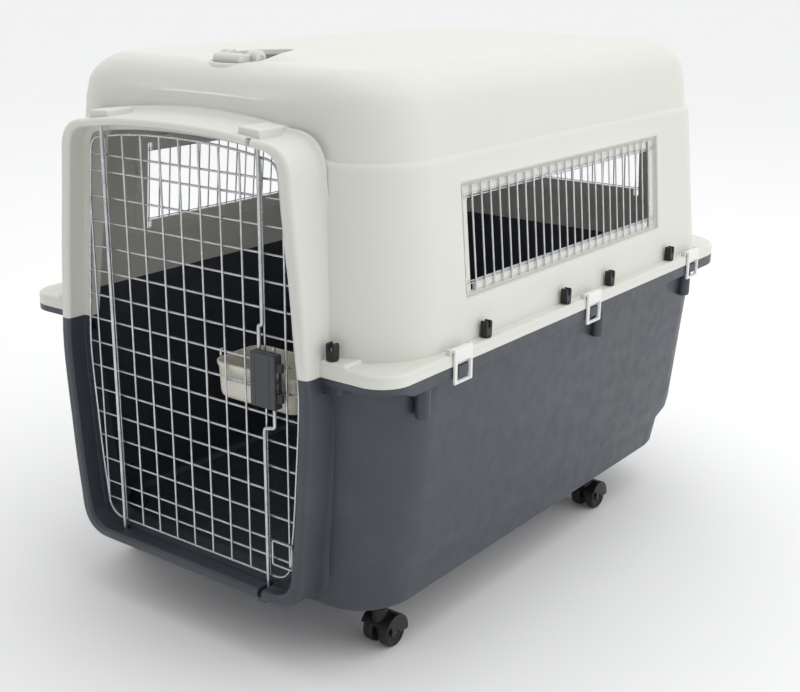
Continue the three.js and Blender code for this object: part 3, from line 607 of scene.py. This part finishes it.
def recess_cutter():
    rings = [door_outline(RECESS, HOOD_RIM_Y - 6, MOUTH_ROLL)]
    rings += [door_outline(RECESS, HOOD_RIM_Y + MOUTH_ROLL * c, MOUTH_ROLL * (1 - s)) for s, c in quarter(5)]
    rings += [door_outline(RECESS, STOP_Y - 4), door_outline(RECESS, STOP_Y - 1, -1),
              door_outline(RECESS, STOP_Y, -4)]
    return loft("recess", rings)


def doorway_cutter():
    edge = [door_outline(DOORWAY, STOP_Y - 6, 1.5)]
    edge += [door_outline(DOORWAY, STOP_Y + 1.5 * c, 1.5 * (1 - s)) for s, c in quarter(3)]
    return loft("doorway", edge + [door_outline(DOORWAY, -300)])


def notch_cutters():
    """Closed in front of the hinge rod, open in front of the latch rods."""
    cutters = []
    half = NOTCH["half"]
    for x, front in ((-ROD_X, ROD_Y - 4.5), (ROD_X, HOOD_RIM_Y - 5)):
        for low, high in ((DOOR_TOP - 4, NOTCH["top"]), (NOTCH["bottom"], DOOR_BOTTOM)):
            cutters.append(rounded_box("notch", (x - half, front, low), (x + half, STOP_Y, high), 1.5))
    return cutters


def flange_ring(z, inset=0.0):
    half, front, rear, radius = (FLANGE[k] for k in ("half", "front", "rear", "radius"))
    return ring(half, front, rear, radius, z, inset, FLANGE["front_radius"])


def flange_block(low, high, round_top, round_bottom):
    """A flange with a rounded edge."""
    rings = [flange_ring(low)]
    if round_bottom:
        rings = [flange_ring(low + round_bottom * c, round_bottom * (1 - s)) for s, c in quarter(4)]
    if round_top:
        rings += [flange_ring(high - round_top * (1 - s), round_top * c) for s, c in quarter(5)]
    else:
        rings.append(flange_ring(high))
    return loft("flange", rings)


def flange_hollow(low, high, inner_levels):
    """The open space under a flange, between its lip and the body's wall."""
    cutter = loft("hollow", [flange_ring(low, WALL), flange_ring(high, WALL + 1)])
    half, front, rear, radius = inner_levels
    core = loft("core", [ring(half, front, rear, radius, low - 1), ring(half, front, rear, radius, high + 1)])
    return cut(cutter, core)


def slab_box(low_z, high_z):
    return rounded_box("slab", (-700, -700, low_z), (700, 700, high_z), 0)


def lower_shell():
    shell = loft("lower_shell_skin", body_rings(LOWER_BODY))
    lip = flange_block(LOWER_FLANGE_BOTTOM, SEAM + 4, 0, 2.0)
    front_low = [(-700, 380), (-424, 380), (-424, LOWER_FLANGE_BOTTOM), (-446, SEAM - 8.5),
                 (-700, SEAM - 8.5)]
    cut(lip, prism("front_lip", front_low, "x", -700, 700))
    join(shell, hood_block(), lip)
    cut(shell, flange_hollow(LOWER_FLANGE_BOTTOM - 5, SEAM - WALL, (317.2, -460.6, 485.8, 114.5)))
    boss = [(0, 356), (6.5, 356), (9, 357.2), (10, 360), (10, SEAM - 2), (0, SEAM - 2)]
    for side in (-1, 1):
        for y in BOSS_PLACES:
            join(shell, lathe("boss", boss, "z", (side * 319, y, 0)))
    for side in (-1, 1):
        bulge = prism("bulge", [(side * 224, 412), (side * 258, 412), (side * 255, 394), (side * 246, 390),
                                (side * 230, 393)], "y", -473, -446, 3, 3)
        join(shell, bulge)
    inside = body_rings(LOWER_BODY, WALL, WALL)
    inside.append(ring(*SEAM_OUTLINE, SEAM + 8, WALL))
    cut(shell, loft("inside", inside))
    for x, y in CASTER_PLACES.values():
        join(shell, soft_cylinder("socket", 15, 66, 108, "z", (x, y, 0), 2))
        join(shell, soft_cylinder("plate", 30, 74, 79, "z", (x, y, 0), 1.5))
    keeper = rounded_box("keeper", (ROD_X - 8, HOOD_RIM_Y + 3, 88),
                         (ROD_X + 8, STOP_Y, DOOR_BOTTOM - 14), 2.5)
    join(shell, keeper)
    cut(shell, recess_cutter(), doorway_cutter(), *notch_cutters())
    for side in (-1, 1):
        for y in CLIP_PLACES:
            xs = sorted((side * (FLANGE["half"] - 2), side * (FLANGE["half"] + 3.4)))
            join(shell, rounded_box("catch", (xs[0], y - 11, 400), (xs[1], y + 11, 414), 1.5))
    for x, y in CASTER_PLACES.values():
        cut(shell, soft_cylinder("bore", 6, 60, 102, "z", (x, y, 0), 0.5, 24))
    cut(shell, slab_box(SEAM - GAP / 2, 900))
    return shell


def onto_wall(wall):
    """The place of a window's parts, which are made lying against the plane X = 0."""
    middle = (SIDE_WINDOW["bottom"] + SIDE_WINDOW["top"]) / 2
    offset = WALL_TAPER["shrink"] * (middle - SEAM) / WALL_TAPER["rise"]
    lean = Matrix.Rotation(-WINDOW_LEAN, 4, "Y")
    if wall == "rear":
        place = Matrix.Translation(Vector((0, SEAM_OUTLINE[2] - offset, middle)) * MM)
        return place @ Matrix.Rotation(math.pi / 2, 4, "Z") @ lean
    side = 1 if wall == "right" else -1
    place = Matrix.Translation(Vector((side * (SEAM_OUTLINE[0] - offset), 0, middle)) * MM)
    if wall == "left":
        place = place @ Matrix.Rotation(math.pi, 4, "Z")
    return place @ lean


def window_span(wall, window):
    if wall == "left":
        return -window["to"], -window["from"]
    return window["from"], window["to"]


def window_cutters(wall, window):
    low, high = window_span(wall, window)
    half = (window["top"] - window["bottom"]) / 2
    reach = GRILLE_BORDER + 3
    place = onto_wall(wall)
    end = 9
    return [
        rounded_box("recess", (-RECESS_DEPTH, low - reach, -half - reach),
                    (20, high + reach, half + reach), 2.2, 4, place),
        rounded_box("mouth", (-0.9, low - reach - 1.6, -half - reach - 1.6),
                    (20, high + reach + 1.6, half + reach + 1.6), 0.8, 3, place),
        rounded_box("opening", (-30, low, -half), (20, high, half), 1.2, 3, place),
        rounded_box("end_slot", (-30, low - 1, -half - 12), (-2, low + end, half - 6), 1.2, 3, place),
        rounded_box("end_slot", (-30, high - end, -half - 12), (-2, high + 1, half + 12), 1.2, 3, place),
    ]


def window_backing(wall, window):
    low, high = window_span(wall, window)
    half = (window["top"] - window["bottom"]) / 2
    reach = GRILLE_BORDER + 3 + WALL
    return rounded_box("backing", (-RECESS_DEPTH - WALL, low - reach, -half - reach),
                       (-1, high + reach, half + reach), 1.0, 2, onto_wall(wall))


WINDOWS = {"right": SIDE_WINDOW, "left": SIDE_WINDOW, "rear": REAR_WINDOW}


def scoop_ring(z, margin, scale=1.0):
    """Rim of the handle's scoop, grown by a margin: an egg with its narrow end to the rear."""
    points = []
    for k in range(72):
        angle = 2 * math.pi * k / 72
        across = math.sin(angle) * (SCOOP["half_x"] * scale * (1 - SCOOP["taper"] * math.cos(angle)) + margin)
        along = math.cos(angle) * (SCOOP["half_y"] * scale + margin)
        points.append((-across, SCOOP["y"] + along, z))
    return points


def scoop_solid(margin):
    levels = [(1, 0.56), (0.97, 0.68), (0.88, 0.79), (0.7, 0.89), (0.5, 0.95), (0.25, 0.985), (0.06, 1.0),
              (0.02, 1.012), (-0.02, 1.035), (-0.6, 1.05)]
    return loft("scoop", [scoop_ring(SCOOP["rim"] - deep * SCOOP["depth"] - margin, margin, scale)
                          for deep, scale in levels])


def handle_seat():
    """Low seat round the scoop: it is highest at the rear and sinks into the roof at the front."""
    levels = [(SEAT_BASE, 20), (766, 22.5), (770, 23.5), (773, 22.5), (776, 19.5), (779, 15),
              (780.6, 11), (781.3, 8), (SEAT_BASE + SEAT_HEIGHT, 5)]
    rings = []
    for z, margin in levels:
        points = []
        for plain, grown in zip(scoop_ring(z, 0), scoop_ring(z, margin)):
            rear = smoothstep(plain[1], SEAT_SLOPE["from"], SEAT_SLOPE["to"])
            share = 0.2 + 0.8 * rear
            x, y = (plain[i] + (grown[i] - plain[i]) * share for i in range(2))
            points.append((x, y, z - (1 - rear) * SEAT_SLOPE["drop"] * (z - SEAT_BASE) / SEAT_HEIGHT))
        rings.append(points)
    return loft("handle_seat", rings)


def finger_hole():
    """Through the roof behind the handle's axis, with the scoop open under it."""
    hole = loft("finger_hole", [scoop_ring(700, -2), scoop_ring(770, -2), scoop_ring(779, -1.4),
                                scoop_ring(783, 1), scoop_ring(800, 1)])
    join(hole, loft("under", [scoop_ring(700, 6), scoop_ring(774.5, 6)]))
    front = rounded_box("front", (-60, -500, 690), (60, HANDLE["y"] + 17, 810), 0)
    return cut(hole, front)


def hood_pad(side):
    top = PAD["top"]
    xs = [PAD["from"], PAD["to"], PAD["to"] - 4, PAD["from"] + 4]
    outline = [(side * x, z) for x, z in zip(xs, (690, 688, top - 2, top))]
    return prism("pad", outline, "y", PAD["front"], -438, 2.5, 3)


def upper_shell():
    shell = loft("upper_shell_skin", body_rings(UPPER_BODY))
    join(shell, hood_block(), handle_seat(), flange_block(SEAM - 4, UPPER_FLANGE_TOP, 4.5, 0))
    for side in (-1, 1):
        low = (side * NUT_PAD["x"] - NUT_PAD["half"], FLANGE["front"] + 2, UPPER_FLANGE_TOP - 12)
        high = (side * NUT_PAD["x"] + NUT_PAD["half"], FLANGE["front"] + NUT_PAD["depth"],
                UPPER_FLANGE_TOP + NUT_PAD["height"])
        join(shell, rounded_box("nut_pad", low, high, 4, 5))
    for side in (-1, 1):
        x = side * (FLANGE["half"] - 4)
        for y in CLIP_PLACES:
            for end in (-1, 1):
                ys = sorted((y + end * 20.3, y + end * 24.3))
                low = (x - 4, ys[0], UPPER_FLANGE_TOP - 3)
                join(shell, rounded_box("ear", low, (x + 4, ys[1], UPPER_FLANGE_TOP + 7), 1.2))
    inside = [ring(*SEAM_OUTLINE, SEAM - 9, WALL)] + body_rings(UPPER_BODY, WALL, drop=WALL)
    cut(shell, loft("inside", inside))
    for wall, window in WINDOWS.items():
        join(shell, window_backing(wall, window))
    backing = scoop_solid(WALL)
    crown = [ring(*outline, z) for z, *outline in UPPER_BODY if z >= ROOF_EDGE]
    roof = loft("roof_clip", [ring(*ROOF_OUTLINE, 700), ring(*ROOF_OUTLINE, 756)] + crown)
    join(roof, handle_seat())
    join(shell, combine(backing, [roof], "INTERSECT"))
    cut(shell, scoop_solid(0))
    y, z, half = HANDLE["y"], HANDLE["z"], HANDLE["half"]
    for side in (-1, 1):
        near, far = sorted((side * (half + GAP), side * (half + GAP + HANDLE["ear"])))
        ear = soft_cylinder("handle_ear", 10, near, far, "x", (0, y, z), 1.6, 48)
        join(shell, rounded_box("ear_foot", (near, y - 10, z - 30), (far, y + 10, z), 1.6, 3), ear)
    cut(shell, finger_hole(), soft_cylinder("pin_bore", 3.5, -36, 36, "x", (0, y, z), 0.2, 24))
    join(shell, hood_pad(-1), hood_pad(1))
    cut(shell, recess_cutter(), doorway_cutter(), *notch_cutters())
    for wall, window in WINDOWS.items():
        cut(shell, *window_cutters(wall, window))
    cut(shell, slab_box(-50, SEAM + GAP / 2))
    return shell


# ---- Wire pieces -----------


def window_grille(wall, window):
    low, high = window_span(wall, window)
    low, high = low - GRILLE_BORDER, high + GRILLE_BORDER
    half = (window["top"] - window["bottom"]) / 2 + GRILLE_BORDER
    depth = -RECESS_DEPTH + 2.2
    place = onto_wall(wall)
    inset = WIRE_RADIUS
    corners = [(depth, low + inset, -half + inset), (depth, high - inset, -half + inset),
               (depth, high - inset, half - inset), (depth, low + inset, half - inset)]
    frame_path = bent(corners + corners[:1], 4)
    paths = [(frame_path[:-1] + [frame_path[0]], 0.8, False)]
    for inner in (GRILLE_BORDER - 2, GRILLE_BORDER + 1.6):
        for z in (inner - half, half - inner):
            paths.append(([(depth - 1.2, low + 1, z), (depth - 1.2, high - 1, z)], 0.85, False))
    count = round((high - low) / GRILLE_PITCH)
    step = (high - low - 3) / count
    for i in range(1, count):
        y = low + 1.5 + i * step
        paths.append(([(depth + 0.5, y, -half + 1), (depth + 0.5, y, half - 1)], 1.25, False))
    world = []
    for path, radius, closed in paths:
        world.append(([place @ (Vector(p) * MM) / MM for p in path], radius, closed))
    return wires(f"window_grille_{wall}_wires", world)


def crossings(outline, index, value):
    """Where a closed outline crosses a straight line: the lowest and highest place along the other axis."""
    other = 2 if index == 0 else 0
    hits = []
    for a, b in zip(outline, outline[1:] + outline[:1]):
        if (a[index] - value) * (b[index] - value) < 0 or a[index] == value:
            t = (value - a[index]) / ((b[index] - a[index]) or 1)
            hits.append(a[other] + (b[other] - a[other]) * t)
    return min(hits), max(hits)


def door_wires():
    edge_margin = {"side": -1.4, "top": -1.4, "bottom": -1.4, "corner": 26}
    edge = door_outline(edge_margin, DOOR_Y + 0.4)
    paths = [(edge, 1.6, True)]
    for column in range(-5, 6):
        x = column * PITCH + 0.001
        low, high = crossings(edge, 0, x)
        paths.append(([(x, DOOR_Y - 0.05, low), (x, DOOR_Y - 0.05, high)], WIRE_RADIUS, False))
    for z in ROWS:
        low, high = crossings(edge, 2, z + 0.001)
        paths.append(([(low, DOOR_Y + 1.9, z), (high, DOOR_Y + 1.9, z)], WIRE_RADIUS, False))
    return wires("door_mesh_wires", paths)


ROD_TOP = NOTCH["top"] - 3
ROD_BOTTOM = NOTCH["bottom"] + 2
LATCH = {"left": 128, "right": 170, "bottom": 362, "top": 434, "front": -495.5}
LATCH_BACK = DOOR_Y - 1.5 - GAP
UPPER_ROD_X = 134
LOWER_ROD_X = 158
TAB = {"front": -492, "back": -485.8, "half": 6, "tip": 178, "upper_z": 418, "lower_z": 378}
COIL = {"x": 149, "y": -488.9, "radius": 3.1, "wire": 0.6, "turns": 5, "low": 385.2, "high": 410.8}


def upper_rod():
    path = bent([(UPPER_ROD_X, ROD_Y, 378), (UPPER_ROD_X, ROD_Y, 465), (ROD_X, ROD_Y, 466),
                 (ROD_X, ROD_Y, ROD_TOP)], 3)
    return wires("latch_rod_upper_wire", [(path, ROD_RADIUS, False)])


def lower_rod():
    path = bent([(ROD_X, ROD_Y, ROD_BOTTOM), (ROD_X, ROD_Y, 329), (LOWER_ROD_X, ROD_Y, 333),
                 (LOWER_ROD_X, ROD_Y, LATCH["top"] + 6)], 4)
    return wires("latch_rod_lower_wire", [(path, ROD_RADIUS, False)])


def hinge_rod():
    path = [(-ROD_X, ROD_Y, ROD_BOTTOM), (-ROD_X, ROD_Y, ROD_TOP)]
    return wires("door_hinge_rod_wire", [(path, ROD_RADIUS, False)])


def latch_housing():
    left, right, bottom, top, front = (LATCH[k] for k in ("left", "right", "bottom", "top", "front"))
    case = rounded_box("latch_case", (left, front, bottom), (right, LATCH_BACK, top), 2.2, 4)
    wall = 2.5
    cut(case, rounded_box("hollow", (left + wall, front + wall, bottom + wall),
                          (right - wall, LATCH_BACK + 3, top - wall), 1.2))
    for x, z in ((UPPER_ROD_X, top), (LOWER_ROD_X, top), (LOWER_ROD_X, bottom)):
        cut(case, rounded_box("rod_hole", (x - 3.5, ROD_Y - 3.5, z - 6),
                              (x + 3.5, LATCH_BACK + 1, z + 6), 0.8))
    for low in (399, 371):
        cut(case, rounded_box("tab_slot", (right - 5, -492.8, low), (right + 1, -485.0, low + 26), 0.8))
    for x in (left + 9, right - 9):
        cut(case, rounded_box("line", (x - 0.5, front - 1, bottom + 5),
                              (x + 0.5, front + 0.5, top - 5), 0.4, 2))
    return case


def latch_tab(name, z):
    low = (LATCH["left"] + 4, TAB["front"], z - TAB["half"])
    tab = rounded_box(name, low, (TAB["tip"], TAB["back"], z + TAB["half"]), 1.2, 3)
    for k in range(4):
        x = 171.5 + 1.7 * k
        cut(tab, rounded_box("groove", (x - 0.4, -493, z - 7), (x + 0.4, -491.4, z + 7), 0.2, 1))
    return tab


def latch_spring():
    radius, turns, low, high = (COIL[k] for k in ("radius", "turns", "low", "high"))
    steps = turns * 28
    path = []
    for k in range(steps + 1):
        t = k / steps
        angle = 2 * math.pi * turns * t
        path.append((COIL["x"] + radius * math.cos(angle), COIL["y"] + radius * math.sin(angle),
                     low + (high - low) * t))
    return wires("latch_spring_coil", [(path, COIL["wire"], False)])


def rod_guide():
    back = LATCH_BACK - 1.5
    path = bent([(148, back, 157), (148, back, 140), (182, back, 140), (182, back, 174),
                 (148, back, 174), (148, back, 157)], 3)
    return wires("rod_guide_strap", [(path, 1.4, False)])


# ---- Bowl ------------------

BOWL = {"from": 36, "to": 184, "depth": 92, "bottom": 347, "top": 398}
BOWL_FRONT = DOOR_Y + 5.5


def bowl():
    def level(z, inset):
        half = (BOWL["to"] - BOWL["from"]) / 2
        shift = (BOWL["from"] + BOWL["to"]) / 2
        points = ring(half, BOWL_FRONT, BOWL_FRONT + BOWL["depth"], 22, z, inset)
        return [(x + shift, y, pz) for x, y, pz in points]
    bottom, top = BOWL["bottom"], BOWL["top"]
    levels = [(bottom + 1.2, 14), (bottom, 12), (bottom + 0.6, 9.5), (bottom + 3, 6.6), (bottom + 8, 4.4),
              (top - 9, 2.4), (top - 7, 1.4), (top - 4, 0.3), (top - 1.2, 0), (top, 1.0), (top, 2.6),
              (top - 2, 4.0), (top - 8, 4.8), (bottom + 9, 6.8), (bottom + 4.5, 9.0),
              (bottom + 3.0, 12.5), (bottom + 2.8, 20)]
    return loft("bowl_dish", [level(z, inset) for z, inset in levels])


def bowl_hanger():
    row = ROWS[8]
    between = DOOR_Y + 3.7
    over = row + 1.5 + 2.4
    front = DOOR_Y - 1.5 - 2.2
    left, right = BOWL["from"] + 30, BOWL["to"] - 30
    low = BOWL["top"] - 20
    path = bent([(left, front, over - 8), (left, front, over), (left, between, over),
                 (left, between, low), (right, between, low), (right, between, over),
                 (right, front, over), (right, front, over - 8)], 1.6, 5)
    return wires("bowl_hanger_wire", [(path, 1.4, False)])


# ---- Flange hardware -------


def wing_nut(name, low, high, along_y):
    """An upright block with rounded edges and a slot down to its hub, inside the box of the CAD nut."""
    centre = (low + high) / 2 / MM
    base, top = low.z / MM, high.z / MM - 1.5
    half, slot, hub = NUT["half"], NUT["slot"], base + NUT["hub"]
    right = [(half - 1, base), (half - 0.4, base + 9), (half, top - 3), (half - 1.6, top),
             (slot + 1, top), (slot, top - 2), (slot, hub + 1.5), (0, hub)]
    left = [(-u, v) for u, v in reversed(right[:-1])]
    outline = left[-1:] + right + left[:-1]
    middle, across = (centre.y, centre.x) if along_y else (centre.x, centre.y)
    nut = prism(name, [(middle + u, v) for u, v in outline], "x" if along_y else "y",
                across - NUT["depth"] / 2, across + NUT["depth"] / 2, 1.5, 4)
    collar = soft_cylinder("collar", 6.8, base, base + 3, "z", (centre.x, centre.y, 0), 0.8, 32)
    bore = soft_cylinder("bore", 3.3, base - 2, top + 2, "z", (centre.x, centre.y, 0), 0.1, 24)
    return cut(join(nut, collar), bore)


def flange_bolt(name, low, high):
    centre = (low + high) / 2 / MM
    base, top = low.z / MM, high.z / MM
    head = base + 4
    profile = [(0, base), (2.4, base + 0.4), (4.1, base + 1.6), (5, head - 0.6), (5, head), (2.9, head)]
    z = head
    while z < top - 2.4:
        profile += [(2.9, z + 0.25), (2.55, z + 0.75), (2.9, z + 1.25)]
        z += 1.25
    profile += [(2.9, top - 1), (2.2, top), (0, top)]
    return lathe(name, profile, "z", (centre.x, centre.y, 0), 20)


def flange_clip(name, side, y):
    """A square frame with rounded edges that hangs over the catch."""
    face = side * (FLANGE["half"] + GAP)
    xs = sorted((face, face + side * 4))
    clip = rounded_box(name, (xs[0], y - 20, 391), (xs[1], y + 20, 437.3), 1.4, 3)
    bar = soft_cylinder("barrel", 3, -20, 20, "y", (face - side * 3.3, y, 434.3), 0.8, 24)
    web = sorted((face - side * 3.3, face + side * 1))
    join(clip, bar, rounded_box("web", (web[0], y - 20, 433.5), (web[1], y + 20, 437.3), 0.8))
    hole = sorted((face - side * 1.5, face + side * 5.5))
    cut(clip, rounded_box("hole", (hole[0], y - 13.5, 395), (hole[1], y + 13.5, 419), 2, 3))
    lip = sorted((face + side * 2.5, face + side * 4.6))
    cut(clip, rounded_box("face", (lip[0], y - 14.8, 393.7), (lip[1] + 0.01, y + 14.8, 420.3), 0.6, 2))
    return clip


# ---- Casters ---------------


def caster_housing(name, x, y):
    radius, width, trail, spacing = (WHEEL[k] for k in ("radius", "width", "trail", "spacing"))
    centre = (x, y + trail, radius)
    half = spacing + width / 2 + 2.5
    cover = soft_cylinder(name, radius + 4, -half, half, "x", centre, 2.2, 56)
    cut(cover, rounded_box("below", (x - 60, y - 60, -60), (x + 60, y + 90, radius - 3), 0))
    cut(cover, rounded_box("front", (x - 60, y + trail - 60, -60),
                           (x + 60, y + trail - radius * 0.55, radius + 12), 2))
    stem = soft_cylinder("stem", 5.7, radius + 9, radius + 75, "z", (x, y, 0), 1, 28)
    profile = [(0, 35), (9, 35), (11, 40), (11, 54), (10, 57.5), (7.5, 59), (0, 59)]
    join(cover, lathe("collar", profile, "z", (x, y, 0), 36), stem)
    for side in (-1, 1):
        room = (width + 2.4) / 2
        cut(cover, soft_cylinder("space", radius + 1.5, side * spacing - room, side * spacing + room,
                                 "x", centre, 0.6, 48))
    join(cover, soft_cylinder("web", 13, -4, 4, "x", centre, 0.8, 36))
    cut(cover, soft_cylinder("bore", 3.5, -45, 45, "x", centre, 0.1, 24))
    return cover


def caster_wheel(name, side, x, y):
    """Moulded wheel: a crowned tread, a dished face and a raised hub."""
    radius, width, trail, spacing = (WHEEL[k] for k in ("radius", "width", "trail", "spacing"))
    half = width / 2
    low = [(3.5, 1 - half), (5.6, -half), (7.6, -half), (8.2, 1.6 - half), (14, 2.6 - half),
           (17.2, 2.0 - half), (18.2, -half), (20.4, 0.4 - half), (21.5, 1.6 - half), (21.9, 3.4 - half)]
    high = [(r, -h) for r, h in reversed(low)]
    return lathe(name, low + [(radius, 0)] + high, "x", (x + side * spacing, y + trail, radius), 56)


def caster_axle(name, x, y):
    half = WHEEL["spacing"] + WHEEL["width"] / 2
    return soft_cylinder(name, 3.2, -half, half, "x", (x, y + WHEEL["trail"], WHEEL["radius"]), 0.8, 28)


def roof_handle():
    y, z, half, reach = (HANDLE[k] for k in ("y", "z", "half", "reach"))
    grip = soft_cylinder("roof_handle_bail", 8, -half, half, "x", (0, y - reach, z - 1), 2.5, 44)
    parts = []
    for side in (-1, 1):
        near, far = sorted((side * (half - 10), side * half))
        parts.append(soft_cylinder("knuckle", HANDLE["knuckle"], near, far, "x", (0, y, z), 1.2, 44))
        parts.append(rounded_box("arm", (near, y - reach, z - 7), (far, y, z + 5), 1.6, 3))
        near, far = sorted((side * (half - 6), side * (half + HANDLE["ear"])))
        parts.append(soft_cylinder("pin", HANDLE["pin"], near, far, "x", (0, y, z), 0.6, 24))
    return join(grip, *parts)


# ---- Assembly --------------

finish_piece(lower_shell(), "kennel", SLATE, ["lower_shell"])
finish_piece(upper_shell(), "kennel", WHITE, ["upper_shell"])
for wall, window in WINDOWS.items():
    grille = window_grille(wall, window)
    finish_piece(grille, "kennel", WINDOW_ZINC, [f"window_grille_{wall}"], 60)

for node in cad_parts:
    low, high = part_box(node)
    if node.startswith("wing_nut"):
        nut = wing_nut(f"{node}_moulded", low, high, "front" not in node)
        finish_piece(nut, "kennel", NUT_BLACK, [node])
    elif node.startswith("flange_bolt"):
        finish_piece(flange_bolt(f"{node}_threaded", low, high), "kennel", BOLT_ZINC, [node])

for side_name, side in (("left", -1), ("right", 1)):
    for number, y in enumerate(CLIP_PLACES, 1):
        node = f"flange_clip_{side_name}_{number}"
        clip = flange_clip(f"{node}_frame", side, y)
        finish_piece(clip, f"clip_{side_name}_{number}", CLIP_WHITE, [node])

for place, (x, y) in CASTER_PLACES.items():
    housing = caster_housing(f"caster_housing_{place}_cover", x, y)
    finish_piece(housing, f"caster_{place}", CASTER_BLACK, [f"caster_housing_{place}"])
    wheels = f"wheels_{place}"
    axle = caster_axle(f"caster_axle_{place}_pin", x, y)
    finish_piece(axle, wheels, BOLT_ZINC, [f"caster_axle_{place}"])
    outward = 1 if x > 0 else -1
    for kind, side in (("inner", -outward), ("outer", outward)):
        node = f"caster_wheel_{kind}_{place}"
        finish_piece(caster_wheel(f"{node}_tread", side, x, y), wheels, TREAD, [node])

finish_piece(door_wires(), "door", ZINC, ["door_grid"], 60)
finish_piece(hinge_rod(), "door", ZINC, ["door_hinge_rod"], 60)
finish_piece(latch_housing(), "door", CHARCOAL, ["latch_housing"])
spring = finish_piece(latch_spring(), "door", SPRING, ["latch_spring"], 60)
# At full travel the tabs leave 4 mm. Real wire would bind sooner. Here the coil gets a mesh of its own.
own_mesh(spring)
finish_piece(rod_guide(), "door", ZINC, ["rod_guide"], 60)
finish_piece(bowl(), "door", CREAM, ["bowl"])
finish_piece(bowl_hanger(), "door", ZINC, ["bowl_hanger"], 60)
finish_piece(upper_rod(), "latch_upper", ZINC, ["latch_rod_upper"], 60)
finish_piece(lower_rod(), "latch_lower", ZINC, ["latch_rod_lower"], 60)
upper_tab = latch_tab("latch_tab_upper_grip", TAB["upper_z"])
finish_piece(upper_tab, "latch_upper", CHARCOAL, ["latch_tab_upper"])
lower_tab = latch_tab("latch_tab_lower_grip", TAB["lower_z"])
finish_piece(lower_tab, "latch_lower", CHARCOAL, ["latch_tab_lower"])
finish_piece(roof_handle(), "roof_handle", WHITE, ["roof_handle"])

# ---- Floor, light and camera 


def stage_floor():
    size = 30000
    corners = [(-size, -size, 0), (size, -size, 0), (size, size, 0), (-size, size, 0)]
    floor = new_object("floor", corners, [(0, 1, 2, 3)])
    n = Nodes("floor_paint")
    base = n.mix(n.noise(2.0, 4), linear(247, 247, 247), linear(250, 250, 250))
    n.link(base, n.shader.inputs["Base Color"])
    n.shader.inputs["Roughness"].default_value = 0.9
    floor.data.materials.append(n.material)


def area_light(name, location, target, size, power):
    data = bpy.data.lights.new(name, "AREA")
    data.shape = "RECTANGLE"
    data.size, data.size_y = size
    data.energy = power
    light = bpy.data.objects.new(name, data)
    light.location = location
    light.rotation_euler = (Vector(target) - Vector(location)).to_track_quat("-Z", "Y").to_euler()
    bpy.context.scene.collection.objects.link(light)


def lights():
    """Soft light from above, from the right and from all round, darker from in front of the door."""
    area_light("side", (3.4, 1.2, 1.3), (0.2, 0, 0.35), (3.0, 2.0), 8)
    area_light("top", (0.4, 0.4, 4.0), (0, 0, 0.5), (3.5, 3.5), 34)
    world = bpy.data.worlds.new("studio")
    world.use_nodes = True
    nodes, links = world.node_tree.nodes, world.node_tree.links
    background = nodes["Background"]
    background.inputs["Color"].default_value = (0.965, 0.97, 0.975, 1)
    direction = nodes.new("ShaderNodeTexCoord").outputs["Generated"]
    split = nodes.new("ShaderNodeSeparateXYZ")
    front = nodes.new("ShaderNodeMapRange")
    for key, number in (("From Min", -0.8), ("From Max", 0.0), ("To Min", 0.46), ("To Max", 1.14)):
        front.inputs[key].default_value = number
    links.new(direction, split.inputs["Vector"])
    links.new(split.outputs["Y"], front.inputs["Value"])
    links.new(front.outputs["Result"], background.inputs["Strength"])
    bpy.context.scene.world = world


def camera():
    azimuth, elevation, roll = math.radians(36.70), math.radians(17.46), math.radians(0.497)
    back = Vector((math.sin(azimuth) * math.cos(elevation), -math.cos(azimuth) * math.cos(elevation),
                   math.sin(elevation)))
    right = Vector((math.cos(azimuth), math.sin(azimuth), 0))
    up = back.cross(right)
    x_axis = right * math.cos(roll) + up * math.sin(roll)
    y_axis = up * math.cos(roll) - right * math.sin(roll)
    matrix = Matrix((x_axis, y_axis, back)).transposed().to_4x4()
    matrix.translation = (1.1789, -1.5900, 0.9151)
    data = bpy.data.cameras.new("camera")
    data.sensor_width = 36
    data.lens = 57.06
    data.clip_end = 100
    view = bpy.data.objects.new("camera", data)
    view.matrix_world = matrix
    bpy.context.scene.collection.objects.link(view)
    bpy.context.scene.camera = view


stage_floor()
lights()
camera()
bpy.context.scene.view_settings.view_transform = "Standard"
